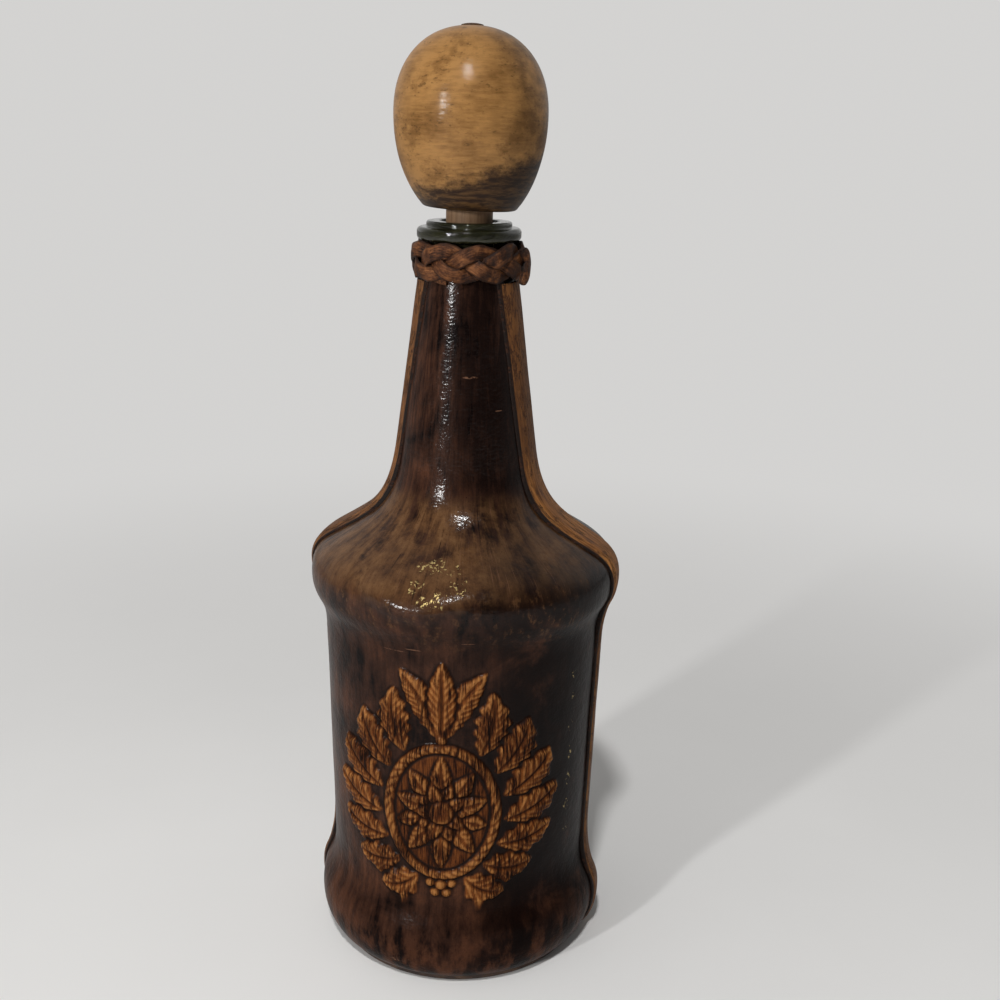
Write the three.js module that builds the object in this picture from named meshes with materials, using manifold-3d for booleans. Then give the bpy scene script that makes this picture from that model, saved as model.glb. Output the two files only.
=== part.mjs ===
// Leather-wrapped decanter: a green glass bottle dressed in two moulded leather covers, with a strip glued
// over each side seam, a leather sole, a plaited collar at the lip and a turned wooden stopper.
// Millimetres, +Z up, the front faces -Y, and the origin is the middle of the sole's underside.
import * as THREE from 'three';
import { mergeVertices } from 'three/addons/utils/BufferGeometryUtils.js';
import Module from 'manifold-3d';

const wasm = await Module();
wasm.setup();

// Clearances
const FIT = 0.3; // between layers that are glued on each other
const SEAM = 0.4; // between the two covers, under the side strips
const CORK_PLAY = 0.35; // between the cork and the bore that it slides in
const MOUTH_GAP = 1.7; // between the stopper's dowel and the bore

// Leather stock
const COVER_T = 2.2;
const STRIP_T = 1.1;
const STRIP_W = 20;
const SEAM_TURN = 3; // degrees by which both side seams are turned clockwise, seen from above
const SOLE_T = 2.2;
const SOLE_INSET = 0.8; // sole's edge inside the lower edge of the covers
const SOLE_ROUND = 0.9;

// Body, measured on the outside of the covers; heights stack up from the sole
const WAIST_R = 43.1; // at the foot of the waist
const WAIST_FLARE = 2.1; // the waist widens by this much going up
const WAIST_RISE = 75;
const FOOT_PROUD = 4.6; // foot's bulge beyond the waist
const FOOT_TUCK = 5.5; // foot's lower edge inside its bulge
const FOOT_RISE = 12.5; // lower edge to the widest line of the foot
const FOOT_NECKING = 21; // widest line of the foot to the foot of the waist
const SHOULDER_PROUD = 4.6; // shoulder's bulge beyond the waist
const SHOULDER_RISE = 19; // top of the waist to the widest line of the shoulder
const SHOULDER_ROUND = 7.3; // how far the rounded edge of the shoulder runs in
const SHOULDER_CROWN = 11.2; // how far that edge rises
const SHOULDER_SLOPE = 0.625; // rise of the shoulder for each millimetre inwards
const NECK_R = 14; // at the top of the covers
const NECK_FLARE = 7.3; // the neck widens by this much going down
const NECK_FILLET = 28.3; // height of the hollow curve from shoulder to neck
const NECK_RISE = 58;
const COLLAR_SEAT = 5.5; // straight stretch of the covers behind the plait

// How hard the curves are drawn towards their ends
const PULL_SOFT = 0.45;
const PULL_HARD = 0.63;
const FOOT_KICK = 1; // rise of the foot's curve where it leaves its lower edge

// Glass
const GLASS_WALL = 2.6;
const GLASS_BASE = 5;
const HEEL = 5.5; // rounding inside and outside the foot of the glass
const PUNT_R = 28;
const PUNT_H = 4;
const LIP_GAP = 3.2; // top of the covers to the underside of the ring
const RING_PROUD = 4.6; // ring beyond the glass neck
const RING_H = 3.9;
const RING_ROUND = 1.1;
const RIM_PROUD = 1.7; // rim beyond the glass neck
const RIM_H = 1.8;
const RIM_ROUND = 0.5;

// Plaited collar of three laces
const LACE_W = 4.4;
const LACE_T = 1.4;
const LACES = 3;
const PLAITS = 3; // full waves of each lace round the neck
const PLAIT_WAVE = 3.5; // each lace climbs and falls by this much
const PLAIT_DEPTH = 1.2; // and weaves in and out by this much
const LACE_TILT = 0.5; // how far a lace leans onto the one below it, in radians
const KNOT_W = 6.5;
const KNOT_T = 1.9;
const KNOT_TURN = 76; // degrees from the front towards +X

// Stopper
const CORK_LENGTH = 26;
const CORK_SINK = 3; // top of the cork below the rim
const CORK_WALL = 4;
const CORK_TAPER = 0.6;
const STEM_SHOW = 3.8; // dowel seen between the rim and the knob
const SOCKET_DEPTH = 16;
const KNOB_R = 23.3;
const KNOB_RISE = 25.9; // from the knob's widest line up to its top
const KNOB_FALL = 34.5; // from there down to where the egg would end if it were whole
const KNOB_CUT = 27.4; // from there down to its flat base
const KNOB_FULL = 2.2; // fullness of the crown; 2 draws an ellipse
const PLUG_R = 3.4;
const PLUG_DEPTH = 6;

// Moulded relief on the front cover
const RELIEF_H = 1.5;
const RELIEF_STEP = 0.5; // by which every second leaf and petal lies lower
const RELIEF_ROOT = 0.7; // how deep the relief is rooted in the cover
const OVAL_W = 37;
const OVAL_H = 48;
const OVAL_RISE = 27; // foot of the waist to the middle of the oval
const BORDER_W = 3.2;
const PETALS = 10;
const PETAL_W = 7;
const PETAL_GAP = 0.8; // between the petals' tips and the border
const BOSS_R = 4;
const LEAF_GAP = 0.6; // between the oval and the leaves
const LEAF_BEND = 3.5; // how far the middle of a bent leaf is pulled aside
const SPRAY_LEAVES = 7;
const SPRAY_START = 22; // degrees above the oval's lowest point where the first leaf springs
const SPRAY_STEP = 20;
const SPRAY_LEAF = 14; // length of the lowest leaf
const SPRAY_GROWTH = 1.4; // by which each leaf is longer than the one below it
const SPRAY_LEAF_W = 10.5;
const SPRAY_SWEEP = 36; // degrees by which a leaf leans upwards
const FAN_LEAVES = 3;
const FAN_STEP = 30;
const FAN_LEAF = 27;
const FAN_LEAF_W = 9.5;

// Facets
const SEGMENTS = 32;
const CURVE_STEPS = 4;
const CROWN_STEPS = 6;
const LACE_STEPS = 26; // for each wave
const LACE_SIDES = 6;

const deg = THREE.MathUtils.degToRad;
const point = (r, z) => new THREE.Vector2(r, z);

// Heights that the body's sizes add up to
const coverFootZ = SOLE_T + FIT;
const footZ = coverFootZ + FOOT_RISE;
const waistZ = footZ + FOOT_NECKING;
const waistTopZ = waistZ + WAIST_RISE;
const shoulderZ = waistTopZ + SHOULDER_RISE;
const slopeZ = shoulderZ + SHOULDER_CROWN;
const neckZ = slopeZ + NECK_FILLET;
const neckTopZ = neckZ + NECK_RISE;
const coverTopZ = neckTopZ + COLLAR_SEAT;
const ringZ = coverTopZ + LIP_GAP;
const rimZ = ringZ + RING_H;
const lipZ = rimZ + RIM_H;

// Radii that follow from them
const footR = WAIST_R + FOOT_PROUD;
const footEdgeR = footR - FOOT_TUCK;
const waistTopR = WAIST_R + WAIST_FLARE;
const shoulderR = waistTopR + SHOULDER_PROUD;
const slopeR = shoulderR - SHOULDER_ROUND;
const neckBaseR = NECK_R + NECK_FLARE;
const glassSkin = COVER_T + FIT;
const glassNeckR = NECK_R - glassSkin;
const boreR = glassNeckR - GLASS_WALL;
const ringR = glassNeckR + RING_PROUD;
const rimR = glassNeckR + RIM_PROUD;
const laceR = NECK_R + FIT + PLAIT_DEPTH + LACE_T / 2;
const collarR = laceR + PLAIT_DEPTH + LACE_T / 2;
const collarHalf = PLAIT_WAVE + LACE_W / 2;
const collarZ = ringZ - FIT - collarHalf;

/** Points of a cubic curve, without its last one, so that curves can follow each other. */
function curve(from, pullFrom, pullTo, to, steps = CURVE_STEPS) {
  return new THREE.CubicBezierCurve(from, pullFrom, pullTo, to).getPoints(steps).slice(0, -1);
}

/** Outside of the dressed body in (radius, height), from the lower edge of the covers to their top. */
function bodyProfile() {
  const taper = NECK_FLARE / NECK_RISE;
  const edge = point(footEdgeR, coverFootZ);
  const foot = point(footR, footZ);
  const waist = point(WAIST_R, waistZ);
  const waistTop = point(waistTopR, waistTopZ);
  const shoulder = point(shoulderR, shoulderZ);
  const slope = point(slopeR, slopeZ);
  const neck = point(neckBaseR, neckZ);
  const roundPull = SHOULDER_ROUND * PULL_HARD;
  const hollow = (slopeR - neckBaseR) * PULL_HARD;
  const hollowRise = NECK_FILLET * PULL_HARD;
  return [
    ...curve(edge, point(edge.x + FOOT_TUCK / 2, edge.y + FOOT_KICK),
      point(foot.x, foot.y - FOOT_RISE / 2), foot),
    ...curve(foot, point(foot.x, foot.y + FOOT_NECKING * PULL_SOFT),
      point(waist.x, waist.y - FOOT_NECKING * PULL_HARD), waist),
    waist,
    ...curve(waistTop, point(waistTop.x, waistTop.y + SHOULDER_RISE * PULL_HARD),
      point(shoulder.x, shoulder.y - SHOULDER_RISE * PULL_SOFT), shoulder),
    ...curve(shoulder, point(shoulder.x, shoulder.y + SHOULDER_CROWN / 2),
      point(slope.x + roundPull, slope.y - roundPull * SHOULDER_SLOPE), slope),
    ...curve(slope, point(slope.x - hollow, slope.y + hollow * SHOULDER_SLOPE),
      point(neck.x + hollowRise * taper, neck.y - hollowRise), neck),
    neck,
    point(NECK_R, neckTopZ),
    point(NECK_R, coverTopZ),
  ];
}

/** A profile moved outwards by a distance, square to its stretches (inwards if the distance is negative). */
function offset(profile, distance) {
  const last = profile.length - 1;
  const stretch = (i) => profile[i + 1].clone().sub(profile[i]).normalize();
  return profile.map((p, i) => {
    const before = stretch(Math.max(i - 1, 0));
    const after = stretch(Math.min(i, last - 1));
    const along = before.clone().add(after).normalize();
    const reach = distance / along.dot(before);
    return point(p.x + along.y * reach, p.y - along.x * reach);
  });
}

/** Closed outline of a layer that lies between two distances from a profile. */
function layer(profile, inner, outer) {
  const outside = offset(profile, outer);
  const inside = offset(profile, inner).reverse();
  return [...outside, ...inside, outside[0].clone()];
}

/** Turns any closed three.js geometry into a solid for joining and cutting. */
function solid(geometry) {
  const bare = new THREE.BufferGeometry();
  bare.setAttribute('position', geometry.getAttribute('position'));
  bare.setIndex(geometry.getIndex());
  const welded = mergeVertices(bare);
  const index = welded.getIndex().array;
  const triangles = [];
  for (let i = 0; i < index.length; i += 3) {
    const [a, b, c] = index.slice(i, i + 3);
    if (a !== b && b !== c && c !== a) triangles.push(a, b, c);
  }
  const vertProperties = new Float32Array(welded.getAttribute('position').array);
  const triVerts = new Uint32Array(triangles);
  return new wasm.Manifold(new wasm.Mesh({ numProp: 3, vertProperties, triVerts }));
}

/** Body of revolution about Z. */
function revolve(profile) {
  return solid(new THREE.LatheGeometry(profile, SEGMENTS).rotateX(Math.PI / 2));
}

/** Box between two corners, turned about Z with the side seams. */
function block(low, high) {
  const size = high.clone().sub(low);
  const middle = low.clone().add(high).multiplyScalar(0.5);
  const box = new THREE.BoxGeometry(size.x, size.y, size.z).translate(middle.x, middle.y, middle.z);
  return solid(box.rotateZ(-deg(SEAM_TURN)));
}

/** Prism that carries an outline drawn on the front view, in (x, z), from the axis out through the front. */
function prism(shape, depth) {
  const settings = { depth, bevelEnabled: false, curveSegments: CURVE_STEPS };
  return solid(new THREE.ExtrudeGeometry(shape, settings).rotateX(Math.PI / 2));
}

/** Pointed leaf from its base, along a heading in radians, bent to its left by a positive bend. */
function leaf(base, heading, length, width, bend) {
  const along = point(Math.cos(heading), Math.sin(heading));
  const across = point(-along.y, along.x);
  const tip = base.clone().addScaledVector(along, length);
  const middle = base.clone().lerp(tip, 0.5);
  const right = middle.clone().addScaledVector(across, bend - width);
  const left = middle.clone().addScaledVector(across, bend + width);
  const shape = new THREE.Shape();
  shape.moveTo(base.x, base.y);
  shape.quadraticCurveTo(right.x, right.y, tip.x, tip.y);
  shape.quadraticCurveTo(left.x, left.y, base.x, base.y);
  return shape;
}

/** Ring between two ovals. */
function ovalBorder(middle) {
  const shape = new THREE.Shape().absellipse(middle.x, middle.y, OVAL_W / 2, OVAL_H / 2, 0, Math.PI * 2);
  const hole = new THREE.Path();
  hole.absellipse(middle.x, middle.y, OVAL_W / 2 - BORDER_W, OVAL_H / 2 - BORDER_W, 0, Math.PI * 2, true);
  shape.holes.push(hole);
  return shape;
}

/** Flower that fills the oval: pointed petals that reach for its border, and a round boss on them. */
function flower(middle) {
  const reachX = OVAL_W / 2 - BORDER_W - PETAL_GAP;
  const reachZ = OVAL_H / 2 - BORDER_W - PETAL_GAP;
  const petals = Array.from({ length: PETALS }, (_, i) => {
    const heading = Math.PI / 2 + (i / PETALS) * Math.PI * 2;
    const reach = 1 / Math.hypot(Math.cos(heading) / reachX, Math.sin(heading) / reachZ);
    return leaf(middle, heading, reach, PETAL_W, 0);
  });
  const boss = new THREE.Shape().absarc(middle.x, middle.y, BOSS_R, 0, Math.PI * 2);
  return [...petals, boss];
}

/** Leaves that spring from one side of the oval, the first near its foot; side is 1 or -1. */
function spray(middle, side) {
  return Array.from({ length: SPRAY_LEAVES }, (_, i) => {
    const angle = deg(SPRAY_START + i * SPRAY_STEP);
    const outwards = Math.atan2(-Math.cos(angle) * OVAL_W, Math.sin(angle) * OVAL_H);
    const heading = outwards + deg(SPRAY_SWEEP);
    const reachX = OVAL_W / 2 + LEAF_GAP;
    const reachZ = OVAL_H / 2 + LEAF_GAP;
    const base = point(middle.x + side * reachX * Math.sin(angle), middle.y - reachZ * Math.cos(angle));
    const length = SPRAY_LEAF + i * SPRAY_GROWTH;
    return leaf(base, side > 0 ? heading : Math.PI - heading, length, SPRAY_LEAF_W, -side * LEAF_BEND);
  });
}

/** Leaves that open like a fan above the oval. */
function fan(middle) {
  const base = point(middle.x, middle.y + OVAL_H / 2 + LEAF_GAP);
  return Array.from({ length: FAN_LEAVES }, (_, i) => {
    const lean = deg((i - (FAN_LEAVES - 1) / 2) * FAN_STEP);
    return leaf(base, Math.PI / 2 - lean, FAN_LEAF, FAN_LEAF_W, Math.sign(lean) * LEAF_BEND);
  });
}

/** Raised ornament of the front cover, rooted in it. */
function relief(body) {
  const middle = point(0, waistZ + OVAL_RISE);
  const tier = (top) => revolve(layer(body, -RELIEF_ROOT, top));
  const [upper, lower] = [tier(RELIEF_H), tier(RELIEF_H - RELIEF_STEP)];
  const raise = (shape, skin) => prism(shape, shoulderR * 2).intersect(skin);
  const leafage = [flower(middle), spray(middle, 1), spray(middle, -1), fan(middle)];
  const tiers = leafage.flatMap((motif) => motif.map((shape, i) => raise(shape, i % 2 ? lower : upper)));
  return [raise(ovalBorder(middle), upper), ...tiers];
}

/** Front and back halves of the leather body, with the relief moulded into the front. */
function covers(body) {
  const shell = revolve(layer(body, -COVER_T, 0));
  const far = shoulderR * 2;
  const before = block(new THREE.Vector3(-far, -far, 0), new THREE.Vector3(far, -SEAM / 2, lipZ));
  const behind = block(new THREE.Vector3(-far, SEAM / 2, 0), new THREE.Vector3(far, far, lipZ));
  const back = shell.intersect(behind);
  const moulded = relief(body).reduce((whole, motif) => whole.add(motif), shell.intersect(before));
  return { moulded, back };
}

/** Strip over one side seam; side is 1 for +X and -1 for -X. */
function sideStrip(body, side) {
  const far = shoulderR * 2;
  const top = collarZ - collarHalf - FIT;
  const low = new THREE.Vector3(side > 0 ? 0 : -far, -STRIP_W / 2, 0);
  const high = new THREE.Vector3(side > 0 ? far : 0, STRIP_W / 2, top);
  return revolve(layer(body, FIT, FIT + STRIP_T)).intersect(block(low, high));
}

/** Leather disc under the bottle, with its edge rounded below and above. */
function sole() {
  const edge = footEdgeR - SOLE_INSET;
  return revolve([
    point(0, 0),
    point(edge - SOLE_ROUND, 0),
    point(edge, SOLE_ROUND),
    point(edge, SOLE_T),
    point(0, SOLE_T),
  ]);
}

/** Glass bottle: a punted base, the body inside the covers, a ringed lip and an open bore. */
function glassBottle(body) {
  const outside = offset(body, -glassSkin);
  const floor = coverFootZ + GLASS_BASE;
  const inside = offset(body, -glassSkin - GLASS_WALL).filter((p) => p.y > floor + HEEL);
  const puntUnder = new THREE.QuadraticBezierCurve(
    point(0, coverFootZ + PUNT_H), point(PUNT_R / 2, coverFootZ + PUNT_H), point(PUNT_R, coverFootZ));
  const puntOver = new THREE.QuadraticBezierCurve(
    point(PUNT_R, floor), point(PUNT_R / 2, floor + PUNT_H), point(0, floor + PUNT_H));
  return revolve([
    ...puntUnder.getPoints(CURVE_STEPS),
    point(outside[0].x - HEEL, coverFootZ),
    ...outside,
    point(glassNeckR, ringZ),
    point(ringR - RING_ROUND, ringZ),
    point(ringR, ringZ + RING_ROUND),
    point(ringR, rimZ - RING_ROUND),
    point(ringR - RING_ROUND, rimZ),
    point(rimR, rimZ),
    point(rimR, lipZ - RIM_ROUND),
    point(rimR - RIM_ROUND, lipZ),
    point(boreR + RIM_ROUND, lipZ),
    point(boreR, lipZ - RIM_ROUND),
    ...inside.reverse(),
    point(inside[inside.length - 1].x - HEEL, floor),
    ...puntOver.getPoints(CURVE_STEPS),
  ]);
}

/** One lace of the plait: an oval section that waves up and down, and in and out, round the neck. */
function lace(number) {
  const stations = PLAITS * LACE_STEPS;
  const positions = [];
  const index = [];
  for (let s = 0; s < stations; s += 1) {
    const turn = (s / stations) * Math.PI * 2;
    const wave = turn * PLAITS + (number * Math.PI * 2) / LACES;
    const climb = (PLAIT_WAVE * PLAITS * Math.cos(wave)) / laceR;
    const half = (LACE_W / 2) * Math.hypot(1, climb);
    const tilt = -LACE_TILT * Math.cos(LACES * wave);
    const middleR = laceR + PLAIT_DEPTH * Math.sin(2 * wave);
    const middleZ = collarZ + PLAIT_WAVE * Math.sin(wave);
    for (let side = 0; side < LACE_SIDES; side += 1) {
      const around = ((side + 0.5) / LACE_SIDES) * Math.PI * 2;
      const thick = (LACE_T / 2) * Math.cos(around);
      const wide = half * Math.sin(around);
      const r = middleR + thick * Math.cos(tilt) - wide * Math.sin(tilt);
      const z = middleZ + thick * Math.sin(tilt) + wide * Math.cos(tilt);
      positions.push(r * Math.cos(turn), r * Math.sin(turn), z);
      const here = s * LACE_SIDES + side;
      const beside = s * LACE_SIDES + ((side + 1) % LACE_SIDES);
      const ahead = (here + LACE_SIDES) % (stations * LACE_SIDES);
      const across = (beside + LACE_SIDES) % (stations * LACE_SIDES);
      index.push(here, ahead, beside, beside, ahead, across);
    }
  }
  const geometry = new THREE.BufferGeometry();
  geometry.setAttribute('position', new THREE.Float32BufferAttribute(positions, 3));
  geometry.setIndex(index);
  return solid(geometry);
}

/** Folded end of the laces, a rounded pad that lies on the outside of the plait. */
function knot() {
  const seat = collarR + FIT;
  const foot = collarZ - collarHalf + FIT;
  const head = collarZ + collarHalf - FIT;
  const pull = seat + (KNOT_T * 4) / 3; // such a curve bellies out to three quarters of its pull
  const outline = new THREE.Shape();
  outline.moveTo(seat, foot);
  outline.bezierCurveTo(pull, foot, pull, head, seat, head);
  const settings = { depth: KNOT_W, bevelEnabled: false, curveSegments: CURVE_STEPS * 2 };
  const pad = new THREE.ExtrudeGeometry(outline, settings);
  pad.translate(0, 0, -KNOT_W / 2);
  pad.rotateX(Math.PI / 2);
  pad.rotateZ(deg(KNOT_TURN) - Math.PI / 2);
  return solid(pad);
}

const knobZ = lipZ + STEM_SHOW;
const eggZ = knobZ + KNOB_CUT;
const topZ = eggZ + KNOB_RISE;
const dowelR = boreR - MOUTH_GAP;
const corkR = boreR - CORK_PLAY;
const corkBoreR = corkR - CORK_WALL;
const corkTopZ = lipZ - CORK_SINK;

/** Height of the knob's crown over its widest line, at a distance from the axis. */
function crownHeight(r) {
  return KNOB_RISE * (1 - (r / KNOB_R) ** KNOB_FULL) ** (1 / KNOB_FULL);
}

/** Egg-shaped wooden knob with a flat base, a socket for the dowel and a hole for the plug. */
function knob() {
  const holeR = PLUG_R + FIT;
  const cut = -Math.asin(KNOB_CUT / KNOB_FALL);
  const belly = Array.from({ length: CURVE_STEPS }, (_, i) => {
    const angle = cut * (1 - i / CURVE_STEPS);
    return point(KNOB_R * Math.cos(angle), eggZ + KNOB_FALL * Math.sin(angle));
  });
  const crown = Array.from({ length: CROWN_STEPS + 1 }, (_, i) => {
    const r = KNOB_R * Math.cos((Math.acos(holeR / KNOB_R) * i) / CROWN_STEPS);
    return point(r, eggZ + crownHeight(r));
  });
  return revolve([
    point(0, knobZ + SOCKET_DEPTH),
    point(dowelR + FIT, knobZ + SOCKET_DEPTH),
    point(dowelR + FIT, knobZ),
    ...belly,
    ...crown,
    point(holeR, topZ - PLUG_DEPTH - FIT),
    point(0, topZ - PLUG_DEPTH - FIT),
  ]);
}

/** Dark plug in the top of the knob, slightly domed. */
function plug() {
  return revolve([
    point(0, topZ - PLUG_DEPTH),
    point(PLUG_R, topZ - PLUG_DEPTH),
    point(PLUG_R, eggZ + crownHeight(PLUG_R)),
    point(0, topZ),
  ]);
}

/** Dowel that hangs from the knob, thinner where it carries the cork. */
function dowel() {
  return revolve([
    point(0, corkTopZ - CORK_LENGTH),
    point(corkBoreR - FIT, corkTopZ - CORK_LENGTH),
    point(corkBoreR - FIT, corkTopZ + FIT),
    point(dowelR, corkTopZ + FIT),
    point(dowelR, knobZ + SOCKET_DEPTH - FIT),
    point(0, knobZ + SOCKET_DEPTH - FIT),
  ]);
}

/** Cork sleeve on the dowel, narrower at its lower end. */
function cork() {
  const bottom = corkTopZ - CORK_LENGTH;
  return revolve([
    point(corkBoreR, bottom),
    point(corkR - CORK_TAPER, bottom),
    point(corkR, bottom + CORK_LENGTH / 2),
    point(corkR, corkTopZ),
    point(corkBoreR, corkTopZ),
    point(corkBoreR, bottom),
  ]);
}

/** Named mesh of a solid in its own material. */
function part(name, body, color, roughness, metalness = 0) {
  const { vertProperties, triVerts } = body.getMesh();
  const geometry = new THREE.BufferGeometry();
  geometry.setAttribute('position', new THREE.BufferAttribute(new Float32Array(vertProperties), 3));
  geometry.setIndex(new THREE.BufferAttribute(new Uint32Array(triVerts), 1));
  geometry.computeVertexNormals();
  const mesh = new THREE.Mesh(geometry, new THREE.MeshStandardMaterial({ color, roughness, metalness }));
  mesh.name = name;
  return mesh;
}

const body = bodyProfile();
const { moulded, back } = covers(body);
const stopper = new THREE.Group();
stopper.add(
  part('stopper_knob', knob(), 0xa87742, 0.45),
  part('knob_plug', plug(), 0x2a1a10, 0.6),
  part('stopper_dowel', dowel(), 0xb39a78, 0.7),
  part('stopper_cork', cork(), 0xb58a5a, 0.85),
);
const collar = new THREE.Group();
for (let number = 0; number < LACES; number += 1) {
  collar.add(part(`collar_lace_${number + 1}`, lace(number), 0x6b4026, 0.6));
}
collar.add(part('collar_knot', knot(), 0x573420, 0.6));
const decanter = new THREE.Group();
decanter.add(
  part('base_sole', sole(), 0x2b1a12, 0.7),
  part('glass_bottle', glassBottle(body), 0x2c3325, 0.12),
  part('front_cover', moulded, 0x2e1a12, 0.35),
  part('back_cover', back, 0x2e1a12, 0.35),
  part('right_strip', sideStrip(body, 1), 0x7d5233, 0.6),
  part('left_strip', sideStrip(body, -1), 0x7d5233, 0.6),
  collar,
  stopper,
);

export default decanter;
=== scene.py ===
"""Dresses the leather-wrapped decanter: a green glass bottle in moulded leather with a turned wooden stopper.

Sizes are millimetres in the bottle's own frame, with its front towards -Y and +Z up. They become metres when
a mesh is made.
"""

import logging
import math
from abc import ABC, abstractmethod
from dataclasses import dataclass, field
from enum import Enum
from typing import ClassVar, Optional, Sequence, Union

import bmesh
import bpy
import numpy as np
from mathutils import Matrix, Vector


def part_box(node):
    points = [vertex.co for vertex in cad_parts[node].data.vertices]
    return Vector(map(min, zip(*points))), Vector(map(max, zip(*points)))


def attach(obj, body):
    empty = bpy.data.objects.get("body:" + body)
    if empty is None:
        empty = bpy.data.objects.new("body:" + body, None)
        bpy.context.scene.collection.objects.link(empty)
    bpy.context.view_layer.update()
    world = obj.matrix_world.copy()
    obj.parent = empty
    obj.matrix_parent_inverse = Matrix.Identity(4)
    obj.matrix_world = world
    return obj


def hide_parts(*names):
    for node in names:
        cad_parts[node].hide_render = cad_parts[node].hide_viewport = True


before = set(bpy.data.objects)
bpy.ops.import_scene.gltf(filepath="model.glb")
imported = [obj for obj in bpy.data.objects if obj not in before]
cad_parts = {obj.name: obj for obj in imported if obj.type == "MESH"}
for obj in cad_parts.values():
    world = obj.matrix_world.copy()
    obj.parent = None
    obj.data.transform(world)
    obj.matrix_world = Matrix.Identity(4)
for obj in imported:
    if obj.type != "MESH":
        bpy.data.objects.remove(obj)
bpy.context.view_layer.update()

log = logging.getLogger("decanter")

MM = 0.001
TURN = 2 * math.pi

# How far the handles of a cubic curve reach towards a corner that it rounds
ARC_PULL = 0.55

# Places of the Mix node's sockets: its share, its two numbers, and its two colours with their result
MIX_SHARE, MIX_NUMBERS, MIX_COLOURS, MIXED_COLOUR = 0, (2, 3), (6, 7), 2

Pair = tuple[float, float]
Triple = tuple[float, float, float]
Colour = Triple
Socket = bpy.types.NodeSocket
Feed = Union[Socket, float, Colour]
Marks = dict[str, np.ndarray]


class Body(Enum):
    """Rigid bodies of the frame that the pieces ride on."""

    BOTTLE = "bottle"
    STOPPER = "stopper"


class Half(Enum):
    """The two leather covers, by the bearing of their middle from the front, in radians."""

    FRONT = 0.0
    BACK = math.pi


class Side(Enum):
    """The two side seams, by the sign of their X."""

    RIGHT = 1
    LEFT = -1


# Lines and surfaces

def bezier(start: Sequence[float], pull_start: Sequence[float], pull_end: Sequence[float],
           end: Sequence[float], steps: int = 60) -> np.ndarray:
    """Draws a cubic curve.

    Args:
        start: First point.
        pull_start: Point that the curve leaves towards.
        pull_end: Point that the curve arrives from.
        end: Last point.
        steps: Number of stretches.

    Returns:
        The points, one row each, both ends included.
    """
    t = np.linspace(0.0, 1.0, steps + 1)[:, None]
    a, b, c, d = (np.asarray(p, float) for p in (start, pull_start, pull_end, end))
    return (1 - t) ** 3 * a + 3 * (1 - t) ** 2 * t * b + 3 * (1 - t) * t ** 2 * c + t ** 3 * d


def travel(line: np.ndarray) -> np.ndarray:
    """Returns the distance along a line from its first point to each of its points."""
    return np.concatenate([[0.0], np.cumsum(np.linalg.norm(np.diff(line, axis=0), axis=1))])


def spaced(line: np.ndarray, stations: np.ndarray) -> np.ndarray:
    """Returns the points of a line at the given distances along it."""
    along = travel(line)
    return np.stack([np.interp(stations, along, line[:, i]) for i in range(line.shape[1])], axis=1)


def outward(line: np.ndarray) -> np.ndarray:
    """Finds the normals of a line that runs upwards, pointing away from the axis.

    Args:
        line: Points of (radius, height).

    Returns:
        A unit normal for each point.
    """
    lean = np.gradient(line, axis=0)
    lean /= np.linalg.norm(lean, axis=1, keepdims=True)
    return np.stack([lean[:, 1], -lean[:, 0]], axis=1)


def paced(limits: Sequence[float], paces: Sequence[float], multiple: int = 1) -> np.ndarray:
    """Divides stretches evenly, each at its own pace.

    Args:
        limits: Ends of the stretches, rising.
        paces: Wanted spacing in each stretch.
        multiple: The number of steps in each stretch is a multiple of this.

    Returns:
        The stations, the first and last limit included.
    """
    stations = [np.array([limits[0]], float)]
    for low, high, pace in zip(limits, limits[1:], paces):
        steps = multiple * max(1, math.ceil((high - low) / pace / multiple))
        stations.append(np.linspace(low, high, steps + 1)[1:])
    return np.concatenate(stations)


def rounded(corners: Sequence[Triple], steps: int = 6) -> np.ndarray:
    """Draws a line through corners and rounds each of them.

    Args:
        corners: (radius, height, rounding) of each corner; a rounding of 0 keeps it sharp.
        steps: Stretches in each rounding.

    Returns:
        The points of the line.
    """
    spots = [np.array(c[:2], float) for c in corners]
    line = [spots[0]]
    for before, spot, after, (_, _, size) in zip(spots, spots[1:], spots[2:], corners[1:]):
        if size <= 0:
            line.append(spot)
            continue
        back, ahead = before - spot, after - spot
        reach = min(size, np.linalg.norm(back) / 2.01, np.linalg.norm(ahead) / 2.01)
        start = spot + back / np.linalg.norm(back) * reach
        end = spot + ahead / np.linalg.norm(ahead) * reach
        pulls = (place + (spot - place) * ARC_PULL for place in (start, end))
        line.extend(bezier(start, *pulls, end, steps))
    line.append(spots[-1])
    return np.array(line)


def ease(low: float, high: float, value: np.ndarray) -> np.ndarray:
    """Returns 0 below low, 1 above high and a smooth rise between them."""
    t = np.clip((value - low) / (high - low), 0.0, 1.0)
    return t * t * (3 - 2 * t)


def soften(field_values: np.ndarray, passes: int) -> np.ndarray:
    """Smooths a grid of values.

    Args:
        field_values: The grid.
        passes: How many times each value is mixed with its neighbours.

    Returns:
        The smoothed grid.
    """
    out = field_values
    for _ in range(passes):
        for axis in (0, 1):
            pad = [(1, 1) if i == axis else (0, 0) for i in (0, 1)]
            wide = np.pad(out, pad, mode="edge")
            low, mid, high = (np.take(wide, range(i, i + out.shape[axis]), axis) for i in (0, 1, 2))
            out = (low + 2 * mid + high) / 4
    return out


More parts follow.
